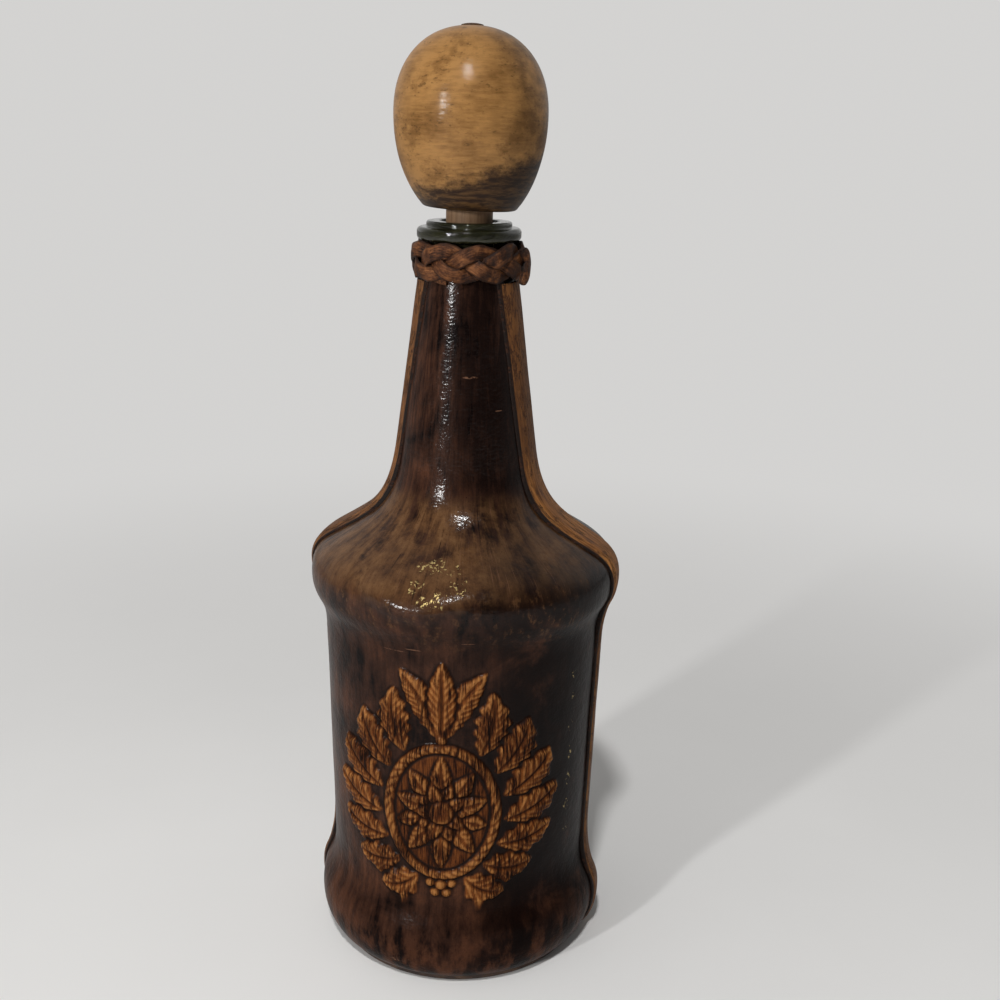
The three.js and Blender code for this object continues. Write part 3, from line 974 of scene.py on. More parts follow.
@dataclass(frozen=True)
class KnobWood(Finish):
    """Turned honey-brown wood with fine rings, short dark flecks, staining from handling below and painted
    shade on the right.
    """

    slot: ClassVar[str] = "knob_wood"
    honey: Colour = (0.305, 0.156, 0.051)
    amber: Colour = (0.135, 0.063, 0.0180)
    # Colour of the dark flecks, also used as painted shade on the right side
    fleck_and_shade: Colour = (0.066, 0.032, 0.0110)
    burnt: Colour = (0.0085, 0.0038, 0.0030)
    stain_height: float = 257.4
    stain_sway: float = 6.0
    stain_bearing: float = 105.0
    stain_ragged: float = 16.0
    stain_sets_in: Pair = (-1.5, 3.5)

    def paint(self, bench: NodeBench) -> None:
        """Lays out the rings, flecks, the dark staining round the lower front, painted shade on the right
        side and the turning marks.

        Args:
            bench: The material's bench.
        """
        _, _, z = bench.axes(bench.place)
        cloud = bench.noise(bench.place, 16.0, detail=5.0, rough=0.6, swirl=0.3)
        ring = bench.noise(bench.stretched(bench.place, (0.16, 0.16, 1.0)), 1.0, detail=5.0, rough=0.65)
        tone = bench.weighed((cloud, 0.6), (ring, 0.4))
        colour = bench.ramp(tone, (0.34, self.amber), (0.56, self.honey))
        smudge = bench.noise(bench.stretched(bench.place, (0.7, 0.7, 1.0)), 7.0, detail=6.0, rough=0.7)
        colour = bench.mix(bench.times(bench.mask(smudge, 0.50, 0.66), 0.7), colour, self.amber)
        dash = bench.noise(bench.stretched(bench.place, (0.45, 0.45, 1.0)), 0.75, detail=3.0)
        specked = bench.times(bench.mask(dash, 0.57, 0.68), bench.mask(smudge, 0.40, 0.56))
        colour = bench.mix(bench.times(specked, 0.6), colour, self.fleck_and_shade)
        # Painted shade: the knob's right side, away from the light, is darkened in smudgy patches
        side_darkening = bench.times(bench.mask(bench.rightward(), 0.25, 0.90), bench.mask(smudge, 0.30, 0.60))
        colour = bench.mix(bench.times(side_darkening, 0.6), colour, self.fleck_and_shade)
        soiled = bench.noise(bench.stretched(bench.place, (0.7, 0.7, 1.0)), 5.0, detail=7.0, rough=0.72)
        facing = bench.sum("COSINE", bench.sum("SUBTRACT", bench.bearing(), math.radians(self.stain_bearing)))
        line = bench.sum("ADD", bench.times(facing, self.stain_sway * MM), self.stain_height * MM)
        ragged = bench.times(bench.sum("SUBTRACT", soiled, 0.5), self.stain_ragged * MM)
        under = bench.sum("ADD", bench.sum("SUBTRACT", line, z), ragged)
        steeped = bench.times(bench.past(under, *self.stain_sets_in),
                              bench.level(bench.mask(ring, 0.62, 0.40), 0.8, 1.0))
        colour = bench.mix(bench.times(steeped, 0.94), colour, self.burnt)
        marks = bench.bump(ring, 0.09, bench.bump(dash, 0.03))
        bench.surface(base_color=colour, roughness=bench.level(cloud, 0.34, 0.52), normal=marks,
                      specular_ior_level=0.06, coat_weight=0.20, coat_roughness=0.13, coat_normal=marks)


@dataclass(frozen=True)
class PlugWood(Finish):
    """Darkened end grain of the knob's plug."""

    slot: ClassVar[str] = "plug_wood"
    dark: Colour = (0.040, 0.019, 0.010)
    brown: Colour = (0.120, 0.060, 0.028)

    def paint(self, bench: NodeBench) -> None:
        """Lays out the end grain's pores.

        Args:
            bench: The material's bench.
        """
        pores = bench.noise(bench.place, 0.6, detail=4.0, rough=0.7)
        bench.surface(base_color=bench.ramp(pores, (0.42, self.dark), (0.66, self.brown)),
                      roughness=bench.level(pores, 0.45, 0.7), normal=bench.bump(pores, 0.1),
                      specular_ior_level=0.15)


@dataclass(frozen=True)
class DowelWood(Finish):
    """Pale smooth dowel with straight lengthwise grain."""

    slot: ClassVar[str] = "dowel_wood"
    pale: Colour = (0.270, 0.163, 0.091)
    line: Colour = (0.200, 0.116, 0.062)

    def paint(self, bench: NodeBench) -> None:
        """Lays out the lengthwise grain.

        Args:
            bench: The material's bench.
        """
        grain = bench.noise(bench.stretched(bench.place, (1.0, 1.0, 0.05)), 0.7, detail=4.0, rough=0.6)
        bench.surface(base_color=bench.ramp(grain, (0.38, self.line), (0.56, self.pale)),
                      roughness=bench.level(grain, 0.6, 0.45), normal=bench.bump(grain, 0.06),
                      specular_ior_level=0.2)


@dataclass(frozen=True)
class CorkBark(Finish):
    """Cork sleeve with darker pits."""

    slot: ClassVar[str] = "cork"
    light: Colour = (0.500, 0.310, 0.160)
    mid: Colour = (0.350, 0.195, 0.090)
    pit: Colour = (0.085, 0.040, 0.018)

    def paint(self, bench: NodeBench) -> None:
        """Lays out the cork's granules and pits.

        Args:
            bench: The material's bench.
        """
        granule = bench.cells(bench.place, 1.3)
        cloud = bench.noise(bench.place, 3.0, detail=5.0, rough=0.65)
        pits = bench.mask(bench.noise(bench.place, 1.7, detail=3.0), 0.62, 0.72)
        tone = bench.weighed((granule, 0.35), (cloud, 0.65))
        colour = bench.ramp(tone, (0.35, self.mid), (0.62, self.light))
        height = bench.sum("SUBTRACT", cloud, bench.times(pits, 0.8))
        bench.surface(base_color=bench.mix(pits, colour, self.pit), roughness=bench.level(cloud, 0.7, 0.9),
                      normal=bench.bump(height, 0.3))


def settle(piece: bpy.types.Object, body: Body, finish: Finish, material: bpy.types.Material,
           *nodes: str) -> None:
    """Dresses a piece, ties it to its body and lets it stand for CAD nodes.

    Args:
        piece: The piece.
        body: Body that it rides on.
        finish: Finish that names its slot; not used.
        material: The finish's material.
        nodes: CAD nodes that it stands for.
    """
    piece.data.materials.append(material)
    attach(piece, body.value)
    if nodes:
        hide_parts(*nodes)
    log.info("%s: %d faces on %s, for %s", piece.name, len(piece.data.polygons), body.value,
             ", ".join(nodes) or "no node")


# The decanter's parts

@dataclass(frozen=True)
class DressedBody:
    """Outside of the leather covers, which every other layer follows, and the turn of its side seams."""

    seam_turn: float = 3.0
    waist_radius: float = 43.1
    waist_flare: float = 2.1
    waist_rise: float = 75.0
    foot_edge_z: float = 2.5
    foot_proud: float = 4.6
    foot_tuck: float = 5.5
    foot_rise: float = 12.5
    foot_necking: float = 21.0
    foot_kick: float = 1.0
    shoulder_proud: float = 4.6
    shoulder_rise: float = 19.0
    shoulder_round: float = 7.3
    shoulder_crown: float = 11.2
    shoulder_slope: float = 0.625
    neck_radius: float = 14.0
    neck_flare: float = 7.3
    neck_fillet: float = 28.3
    neck_rise: float = 58.0
    collar_seat: float = 5.5
    soft: float = 0.45
    hard: float = 0.63
    pace: float = 0.25

    @property
    def waist_z(self) -> float:
        """Height of the foot of the waist."""
        return self.foot_edge_z + self.foot_rise + self.foot_necking

    @property
    def top_z(self) -> float:
        """Height of the covers' upper edge."""
        return (self.waist_z + self.waist_rise + self.shoulder_rise + self.shoulder_crown + self.neck_fillet
                + self.neck_rise + self.collar_seat)

    def outline(self) -> np.ndarray:
        """Draws the outside of the covers.

        Returns:
            Finely spaced points in (radius, height), from the lower edge to the top.
        """
        foot = np.array([self.waist_radius + self.foot_proud, self.foot_edge_z + self.foot_rise])
        edge = foot - (self.foot_tuck, self.foot_rise)
        waist = np.array([self.waist_radius, self.waist_z])
        waist_top = waist + (self.waist_flare, self.waist_rise)
        shoulder = waist_top + (self.shoulder_proud, self.shoulder_rise)
        slope = shoulder + (-self.shoulder_round, self.shoulder_crown)
        neck = np.array([self.neck_radius + self.neck_flare, slope[1] + self.neck_fillet])
        top = np.array([self.neck_radius, neck[1] + self.neck_rise])
        taper = self.neck_flare / self.neck_rise
        brow = self.shoulder_round * self.hard
        hollow, rise = (slope[0] - neck[0]) * self.hard, self.neck_fillet * self.hard
        line = np.concatenate([
            bezier(edge, edge + (self.foot_tuck / 2, self.foot_kick), foot - (0, self.foot_rise / 2), foot),
            bezier(foot, foot + (0, self.foot_necking * self.soft),
                   waist - (0, self.foot_necking * self.hard), waist),
            bezier(waist_top, waist_top + (0, self.shoulder_rise * self.hard),
                   shoulder - (0, self.shoulder_rise * self.soft), shoulder),
            bezier(shoulder, shoulder + (0, self.shoulder_crown / 2),
                   slope + (brow, -brow * self.shoulder_slope), slope),
            bezier(slope, slope + (-hollow, hollow * self.shoulder_slope),
                   neck + (rise * taper, -rise), neck),
            [top, top + (0, self.collar_seat)],
        ])
        keep = np.concatenate([[True], np.linalg.norm(np.diff(line, axis=0), axis=1) > 1e-6])
        line = line[keep]
        return spaced(line, paced([0.0, travel(line)[-1]], [self.pace]))


@dataclass(frozen=True)
class Leaf:
    """One pointed leaf of the ornament, drawn on the front view in (x, z)."""

    base: Pair
    heading: float
    length: float
    width: float
    bend: float
    depth: float
    lobing: float = 0.14
    rib: float = 0.55
    lobes: float = 4.2
    rib_depth: float = 0.42
    vein_pitch: float = 2.5
    vein_slant: float = 1.2
    vein_depth: float = 0.32
    dishing: float = 0.09
    groove: float = 0.9

    def local(self, x: np.ndarray, z: np.ndarray) -> tuple[np.ndarray, np.ndarray, np.ndarray]:
        """Places points in the leaf.

        Args:
            x: Places across the front.
            z: Heights.

        Returns:
            Share of the leaf's length, distance from its rib, and its half width there.
        """
        dx, dz = x - self.base[0], z - self.base[1]
        along = dx * math.cos(self.heading) + dz * math.sin(self.heading)
        share = np.clip(along / self.length, 0.0, 1.0)
        rib = 2 * self.bend * share * (1 - share)
        aside = np.abs(dz * math.cos(self.heading) - dx * math.sin(self.heading) - rib)
        lobe = 1 + self.lobing * np.cos(TURN * along / self.lobes)
        half = 2 * self.width * share * (1 - share) * lobe
        beyond = np.where((along < 0) | (along > self.length), -1.0, half)
        return share, aside, beyond

    def raise_on(self, ground: np.ndarray, x: np.ndarray, z: np.ndarray) -> np.ndarray:
        """Lays the leaf on what is raised already, with a groove round it.

        Args:
            ground: Heights so far.
            x: Places across the front.
            z: Heights on the bottle.

        Returns:
            The new heights.
        """
        share, aside, half = self.local(x, z)
        inside = half > aside
        q = np.clip(aside / np.maximum(half, 0.05), 0.0, 1.0)
        swell = np.sqrt(np.clip(1 - q ** 4, 0, 1)) * (0.60 + 0.40 * ease(0.0, 0.75, share))
        rib = self.rib_depth * np.exp(-(aside / self.rib) ** 2)
        slanting = TURN * (share * self.length - self.vein_slant * aside) / self.vein_pitch
        vein = self.vein_depth * (0.5 + 0.5 * np.cos(slanting)) * ease(0, 0.7, q)
        dish = self.dishing * np.sin(math.pi * q)
        leaf = self.depth * np.clip(swell - rib - vein + dish, 0.05, 1.1)
        clear = ease(0.0, self.groove, aside - np.maximum(half, 0))
        near = (share > 0.02) & (share < 0.98) & ~inside
        return np.where(inside, leaf, np.where(near, ground * clear, ground))


@dataclass(frozen=True)
class Ornament:
    """Moulded ornament of the front cover: a flower in a roped oval, a wreath of leaves and a palmette."""

    middle_z: float = 63.0
    depth: float = 1.5
    oval_width: float = 37.0
    oval_height: float = 48.0
    border: float = 3.2
    rope_turns: int = 38
    rope_slant: float = 2.4
    oval_groove: float = 0.9
    field_depth: float = 0.4
    stipple: float = 1.3
    petals: int = 10
    petal_width: float = 7.0
    petal_gap: float = 0.8
    inner_share: float = 0.56
    boss: float = 4.0
    boss_groove: float = 0.7
    seed_height: float = 0.14
    leaf_gap: float = 0.6
    leaf_bend: float = 3.5
    spray_leaves: int = 7
    spray_start: float = 22.0
    spray_step: float = 20.0
    spray_leaf: float = 14.0
    spray_growth: float = 1.4
    spray_leaf_width: float = 10.5
    spray_sweep: float = 36.0
    fan_leaves: int = 3
    fan_step: float = 30.0
    fan_leaf: float = 27.0
    fan_leaf_width: float = 9.5
    fan_lobing: float = 0.06
    berry: float = 1.6
    berries_below: tuple[Triple, ...] = ((0.0, 2.0, 1.2), (3.4, 1.4, 0.9), (1.8, 4.8, 0.9))
    berries_above: tuple[Triple, ...] = ((0.0, 1.6, 1.1),)

    def oval_distance(self, x: np.ndarray, z: np.ndarray, inset: float) -> np.ndarray:
        """Measures how far places lie outside an oval.

        Args:
            x: Places across the front.
            z: Heights on the bottle.
            inset: How far the oval runs inside the border's outer edge.

        Returns:
            The distances, negative inside the oval.
        """
        a, b = self.oval_width / 2 - inset, self.oval_height / 2 - inset
        u, v = x, z - self.middle_z
        steep = 2 * np.sqrt((u / a ** 2) ** 2 + (v / b ** 2) ** 2) + 1e-6
        return ((u / a) ** 2 + (v / b) ** 2 - 1) / steep

    def rope(self, x: np.ndarray, z: np.ndarray) -> np.ndarray:
        """Works out the height of the oval's roped border.

        Args:
            x: Places across the front.
            z: Heights on the bottle.

        Returns:
            Heights above the plain leather.
        """
        off = self.oval_distance(x, z, self.border / 2)
        swing = np.arctan2(x / self.oval_width, (z - self.middle_z) / self.oval_height)
        round_bar = np.sqrt(np.clip(1 - (2 * off / self.border) ** 2, 0, 1))
        twist = 0.5 + 0.5 * np.cos(self.rope_turns * swing + self.rope_slant * off)
        return self.depth * round_bar * (0.72 + 0.28 * twist ** 0.7)

    def panel(self, x: np.ndarray, z: np.ndarray) -> np.ndarray:
        """Returns the height of the stippled field inside the border."""
        dots = 0.5 + 0.5 * np.cos(TURN * x / self.stipple) * np.cos(TURN * z / self.stipple)
        return self.field_depth * ease(0.0, -1.0, self.oval_distance(x, z, self.border)) * (0.5 + 0.5 * dots)

    def flower(self) -> list[Leaf]:
        """Draws the flower's petals.

        Returns:
            The petals as they are laid: in each ring every second one, then the ones between.
        """
        reach_x, reach_z = (size / 2 - self.border - self.petal_gap
                            for size in (self.oval_width, self.oval_height))
        order = [*range(1, self.petals, 2), *range(0, self.petals, 2)]
        rings = [(i, 1.0) for i in order] + [(i + 0.5, self.inner_share) for i in order]
        laid = []
        for place, share in rings:
            heading = TURN / 4 + place / self.petals * TURN
            reach = share / math.hypot(math.cos(heading) / reach_x, math.sin(heading) / reach_z)
            width = self.petal_width * (0.3 + 0.7 * share)
            laid.append(Leaf((0.0, self.middle_z), heading, reach, width, 0.0, self.depth, lobing=0.0))
        return laid

    def boss_on(self, ground: np.ndarray, x: np.ndarray, z: np.ndarray) -> np.ndarray:
        """Lays the flower's seeded boss on what is raised already.

        Args:
            ground: Heights so far.
            x: Places across the front.
            z: Heights on the bottle.

        Returns:
            The new heights.
        """
        u, v = x, z - self.middle_z
        far = np.hypot(u, v)
        dome = np.sqrt(np.clip(1 - (far / self.boss) ** 2, 0, 1))
        seeds = self.seed_height * np.cos(TURN * u / self.stipple) * np.cos(TURN * v / self.stipple)
        clear = ease(0.0, self.boss_groove, far - self.boss)
        return np.where(far < self.boss, self.depth * (0.40 + 0.70 * dome + seeds * dome), ground * clear)

    def wreath(self) -> list[Leaf]:
        """Draws the leaves of both sprays and of the palmette over them.

        Returns:
            The leaves in the order they are laid.
        """
        laid = []
        for side in Side:
            for i in reversed(range(self.spray_leaves)):
                angle = math.radians(self.spray_start + i * self.spray_step)
                outwards = math.atan2(-math.cos(angle) * self.oval_width, math.sin(angle) * self.oval_height)
                heading = outwards + math.radians(self.spray_sweep)
                base = (side.value * (self.oval_width / 2 + self.leaf_gap) * math.sin(angle),
                        self.middle_z - (self.oval_height / 2 + self.leaf_gap) * math.cos(angle))
                laid.append(Leaf(base, heading if side is Side.RIGHT else math.pi - heading,
                                 self.spray_leaf + i * self.spray_growth, self.spray_leaf_width,
                                 -side.value * self.leaf_bend, self.depth))
        base = (0.0, self.middle_z + self.oval_height / 2 + self.leaf_gap)
        middle = (self.fan_leaves - 1) / 2
        for i in sorted(range(self.fan_leaves), key=lambda n: -abs(n - middle)):
            lean = math.radians((i - middle) * self.fan_step)
            laid.append(Leaf(base, math.pi / 2 - lean, self.fan_leaf, self.fan_leaf_width,
                             self.leaf_bend * np.sign(lean), self.depth, lobing=self.fan_lobing))
        return laid

    def berries(self, x: np.ndarray, z: np.ndarray) -> np.ndarray:
        """Works out the height of the berries under the oval and at the springing of the palmette.

        Args:
            x: Places across the front.
            z: Heights on the bottle.

        Returns:
            Heights above the plain leather.
        """
        low, top = self.middle_z - self.oval_height / 2, self.middle_z + self.oval_height / 2
        below = [(across, low - away, size) for across, away, size in self.berries_below]
        above = [(across, top + away, size) for across, away, size in self.berries_above]
        height = np.zeros(np.broadcast(x, z).shape)
        for across, up, size in below + above:
            far = np.hypot(np.abs(x) - across, z - up) / (self.berry * size)
            height = np.maximum(height, self.depth * np.sqrt(np.clip(1 - far ** 2, 0, 1)))
        return height

    def heights(self, x: np.ndarray, z: np.ndarray) -> np.ndarray:
        """Works out how far the ornament stands proud.

        Args:
            x: Places across the front.
            z: Heights on the bottle.

        Returns:
            Heights above the plain leather.
        """
        ground = np.zeros(np.broadcast(x, z).shape)
        for leaf in self.wreath():
            ground = leaf.raise_on(ground, x, z)
        rope = self.rope(x, z)
        outside = ease(0.0, self.oval_groove, self.oval_distance(x, z, 0.0))
        ground = np.maximum(ground * outside, np.maximum(rope, self.panel(x, z)))
        for petal in self.flower():
            ground = petal.raise_on(ground, x, z)
        return np.maximum(self.boss_on(ground, x, z), self.berries(x, z))


@dataclass
class LeatherCovers:
    """Front and back leather covers of the bottle, the front one with the moulded ornament."""

    body: DressedBody
    ornament: Ornament = field(default_factory=Ornament)
    finish: CoverLeather = field(default_factory=CoverLeather)
    thickness: float = 2.2
    seam: float = 0.4
    unevenness: float = 0.22
    uneven_waves: Pair = (14.0, 60.0)
    seed: int = 11
    soft_edge: float = 0.5
    edge_reach: float = 1.6
    hollow_passes: int = 14
    ridge_passes: int = 5
    fine_pace: float = 0.42
    fold_pace: float = 0.9
    plain_pace: float = 1.8
    carved_low: float = 31.0
    carved_high: float = 121.0
    fold_high: float = 147.0
    carved_turn: float = 64.0
    lining: int = 6
    fold_middle: Pair = (-8.0, 141.5)
    fold_half: Pair = (18.0, 12.6)
    fold_height: float = 1.6
    fold_flank: float = 3.2
    fold_fall: float = 12.0
    fold_left_end: Pair = (-88.0, -40.0)
    fold_right_end: Pair = (82.0, 10.0)

    def rows(self, half: Half) -> np.ndarray:
        """Chooses the outline's points for one cover, close together where it is carved.

        Args:
            half: Which cover.

        Returns:
            Points of (radius, height), from the lower edge to the top.
        """
        line = self.body.outline()
        along = travel(line)
        heights = [self.carved_low, self.carved_high, self.fold_high]
        marks = [0.0, *np.interp(heights, line[:, 1], along), along[-1]]
        middle = [self.fine_pace, self.fold_pace] if half is Half.FRONT else [self.plain_pace] * 2
        return spaced(line, paced(marks, [self.plain_pace, *middle, self.plain_pace], self.lining))

    def turns(self, half: Half) -> np.ndarray:
        """Chooses the places of one cover's columns.

        Args:
            half: Which cover.

        Returns:
            Shares of the quarter turn on each side, from -1 to 1.
        """
        arc = math.radians(90) * self.body.waist_radius
        middle = self.fine_pace if half is Half.FRONT else self.plain_pace
        edge = self.carved_turn / 90
        return paced([-1, -edge, edge, 1], [p / arc for p in (self.plain_pace, middle, self.plain_pace)],
                     self.lining)

    def carve(self, half: Half, x: np.ndarray, z: np.ndarray) -> tuple[np.ndarray, Marks]:
        """Works out the cover's relief.

        Args:
            half: Which cover.
            x: Places across the front.
            z: Heights.

        Returns:
            Heights above the plain surface, and the marks that colour the ornament and its hollows.
        """
        if half is Half.BACK:
            plain = np.zeros(x.shape)
            return plain, {"ornament": plain, "hollow": plain, "ridge": plain}
        height = soften(self.ornament.heights(x, z), 1)
        around, close_by = soften(height, self.hollow_passes), soften(height, self.ridge_passes)
        raised = ease(0.10, 0.35, height)
        hollow = ease(0.07, 0.32, around - height) * 0.95
        ridge = ease(0.03, 0.17, height - close_by)
        return height + self.fold(x, z), {"ornament": raised, "hollow": hollow, "ridge": ridge}

    def fold(self, x: np.ndarray, z: np.ndarray) -> np.ndarray:
        """Works out the soft fold that the mould left in the shoulder, a bow that hangs below the gilding.

        Args:
            x: Places across the front.
            z: Heights.

        Returns:
            Heights above the plain surface.
        """
        u, v = ((place - middle) / half for place, middle, half in
                zip((x, z), self.fold_middle, self.fold_half))
        outside = (np.hypot(u, v) - 1) * sum(self.fold_half) / 2
        swing = np.degrees(np.arctan2(u, -v))
        held = ease(*self.fold_left_end, swing) * ease(*self.fold_right_end, swing)
        inner = ease(-self.fold_fall, -self.fold_flank / 2, outside)
        return held * self.fold_height * inner * ease(self.fold_flank, -self.fold_flank, outside)

    def cover(self, name: str, half: Half) -> bpy.types.Object:
        """Moulds one cover as a closed shell with a coarse lining.

        Args:
            name: Name of the piece.
            half: Which cover.

        Returns:
            The object.
        """
        line, turns = self.rows(half), self.turns(half)
        normal = outward(line)
        limit = np.arccos(self.seam / 2 / line[:, 0])
        bearing = limit[:, None] * turns[None, :] - math.radians(self.body.seam_turn)
        x = line[:, :1] * np.sin(bearing)
        z = np.repeat(line[:, 1:], len(turns), axis=1)
        height, marks = self.carve(half, x, z)
        arc = bearing * line[:, :1]
        seed = self.seed + int(half is Half.BACK)
        height = height + self.unevenness * ripple(arc, z, seed, *self.uneven_waves)
        along = travel(line)
        near_end = np.minimum(along, along[-1] - along)[:, None]
        height = height - self.soft_edge * (1 - np.clip(near_end / self.edge_reach, 0, 1)) ** 2

        def wrap(distance: np.ndarray, rows: slice, columns: slice) -> np.ndarray:
            """Places points at a distance from the outline.

            Args:
                distance: Distances, row by row.
                rows: Which of the outline's points.
                columns: Which of the bearings.

            Returns:
                The points in (x, y, z).
            """
            r = line[rows, :1] + normal[rows, :1] * distance
            up = line[rows, 1:] + normal[rows, 1:] * distance
            swing = bearing[rows, columns] + half.value
            return np.stack([r * np.sin(swing), -r * np.cos(swing), up + 0 * swing], axis=-1)

        outer = wrap(height, slice(None), slice(None))
        every = slice(None, None, self.lining)
        inner = wrap(np.full((len(line[every]), len(turns[every])), -self.thickness), every, every)
        front = np.arange(outer.shape[0] * outer.shape[1]).reshape(outer.shape[:2])
        back = front.size + np.arange(inner.shape[0] * inner.shape[1]).reshape(inner.shape[:2])
        faces = weave(front) + weave(back)
        for fine, coarse in ((front[0], back[0]), (front[-1], back[-1]),
                             (front[:, 0], back[:, 0]), (front[:, -1], back[:, -1])):
            faces += stitch(fine, coarse)
        points = np.concatenate([outer.reshape(-1, 3), inner.reshape(-1, 3)])
        lined = {k: np.concatenate([v.ravel(), np.zeros(back.size)]) for k, v in marks.items()}
        return piece_of(name, points, faces, lined, crease=70.0)

    def build(self) -> None:
        """Makes and dresses both covers."""
        material = self.finish.material()
        for name, half, node in (("cover_front", Half.FRONT, "front_cover"),
                                 ("cover_back", Half.BACK, "back_cover")):
            settle(self.cover(name, half), Body.BOTTLE, self.finish, material, node)


@dataclass
class SideStrips:
    """Leather strips glued over the two side seams."""

    body: DressedBody
    finish: StripLeather = field(default_factory=StripLeather)
    width: float = 20.0
    waist_width: float = 9.0
    narrow_from: float = 150.0
    narrow_to: float = 116.0
    thickness: float = 1.1
    glue: float = 0.3
    rounding: float = 0.25
    skived: float = 0.35
    skive: float = 4.0
    pressed_gap: float = 0.05
    ragged: float = 0.3
    ragged_waves: Pair = (9.0, 50.0)
    ragged_apart: float = 40.0
    unevenness: float = 0.12
    uneven_waves: Pair = (9.0, 45.0)
    ragged_seed: int = 31
    uneven_seed: int = 37
    # Width of the dark band at the strip's edges: the stained edge, widened as painted shadow of the gap
    # beside it
    dark_edge: float = 0.7
    bridge: float = 5.5
    bridge_lift: float = 0.9
    pace: float = 1.1
    across_steps: int = 26

    def section(self) -> np.ndarray:
        """Draws the strip's section, skived thin towards its edges and pressed down on the cover there.

        Returns:
            A closed loop of (place across, height above the glue), outside first.
        """
        half = self.width / 2
        over = np.linspace(-half + self.rounding, half - self.rounding, self.across_steps)
        crown = self.skived + (self.thickness - self.skived) * ease(0.0, self.skive, half - np.abs(over))
        corner = np.linspace(0, math.pi / 2, 4)[1:-1]
        drop, aside = self.rounding * (1 - np.cos(corner)), self.rounding * np.sin(corner)
        top = crown[0]
        right = np.stack([over[-1] + aside, top - drop], axis=1)
        left = np.stack([over[0] - aside[::-1], top - drop[::-1]], axis=1)
        outside = np.concatenate([left, np.stack([over, crown], axis=1), right])
        pressed = (self.pressed_gap - self.glue) * ease(half - self.skive, half, np.abs(outside[::-1, 0]))
        return np.concatenate([outside, np.stack([outside[::-1, 0], pressed], axis=1)])

    def path(self, top: float) -> np.ndarray:
        """Draws the strip's line along the body, bridging the hollow corners a little.

        Args:
            top: Height of the strip's upper end.

        Returns:
            Points of (radius, height, radius of the cover there).
        """
        line = self.body.outline()
        line = line[line[:, 1] <= top]
        line = spaced(line, paced([0, travel(line)[-1]], [self.pace]))
        seat = line[:, :1].copy()
        reach = int(3 * self.bridge / self.pace)
        kernel = np.exp(-0.5 * (np.arange(-reach, reach + 1) * self.pace / self.bridge) ** 2)
        padded = np.pad(line[:, 0], reach, mode="reflect", reflect_type="odd")
        smooth = np.convolve(padded, kernel / kernel.sum(), mode="valid")
        line[:, 0] = np.maximum(line[:, 0], np.minimum(smooth, line[:, 0] + self.bridge_lift))
        line[:, 0] = soften(line[:, :1], 2)[:, 0].clip(min=line[:, 0])
        return np.concatenate([line, seat], axis=1)

    def strip(self, name: str, side: Side, top: float) -> bpy.types.Object:
        """Bends one strip over its seam.

        Args:
            name: Name of the piece.
            side: Which seam.
            top: Height of its upper end.

        Returns:
            The object.
        """
        line, section = self.path(top), self.section()
        normal = outward(line[:, :2])
        z = line[:, 1:2]
        narrowing = (self.waist_width - self.width) * ease(self.narrow_from, self.narrow_to, z)
        half = (self.width + narrowing) / 2
        share = section[None, :, 0] / (self.width / 2)
        edges = np.sign(share)
        waver = ripple(z, edges * self.ragged_apart, self.ragged_seed + side.value, *self.ragged_waves)
        across = half * share + edges * (self.ragged * waver) * share ** 4
        uneven = ripple(across, z, self.uneven_seed + side.value, *self.uneven_waves)
        lift = self.glue + section[None, :, 1] + self.unevenness * uneven
        underside = np.arange(len(section)) >= len(section) // 2
        r = np.where(underside, line[:, 2:], line[:, :1]) + normal[:, :1] * lift
        up = z + normal[:, 1:] * lift
        x = side.value * np.sqrt(np.maximum(r ** 2 - across ** 2, 1.0))
        cos, sin = (trig(math.radians(self.body.seam_turn)) for trig in (math.cos, math.sin))
        loops = np.stack([x * cos + across * sin, across * cos - x * sin, up], axis=-1)
        edge = ease(-self.dark_edge * 2, 0.0, np.abs(across) - half)
        return lofted(name, loops, {"edge": edge})

    def build(self) -> None:
        """Makes and dresses both strips."""
        material = self.finish.material()
        for name, side, node in (("strip_right", Side.RIGHT, "right_strip"),
                                 ("strip_left", Side.LEFT, "left_strip")):
            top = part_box(node)[1].z / MM
            settle(self.strip(name, side, top), Body.BOTTLE, self.finish, material, node)


@dataclass
class BaseSole:
    """Leather disc under the bottle."""

    finish: SoleLeather = field(default_factory=SoleLeather)
    rounding: float = 0.9

    def build(self) -> None:
        """Makes and dresses the sole, to the size of its CAD node."""
        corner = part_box("base_sole")[1]
        edge, top = corner.x / MM, corner.z / MM
        outline = rounded([(0, 0, 0), (edge, 0, self.rounding), (edge, top, self.rounding / 2), (0, top, 0)])
        settle(turned("sole", outline), Body.BOTTLE, self.finish, self.finish.material(), "base_sole")


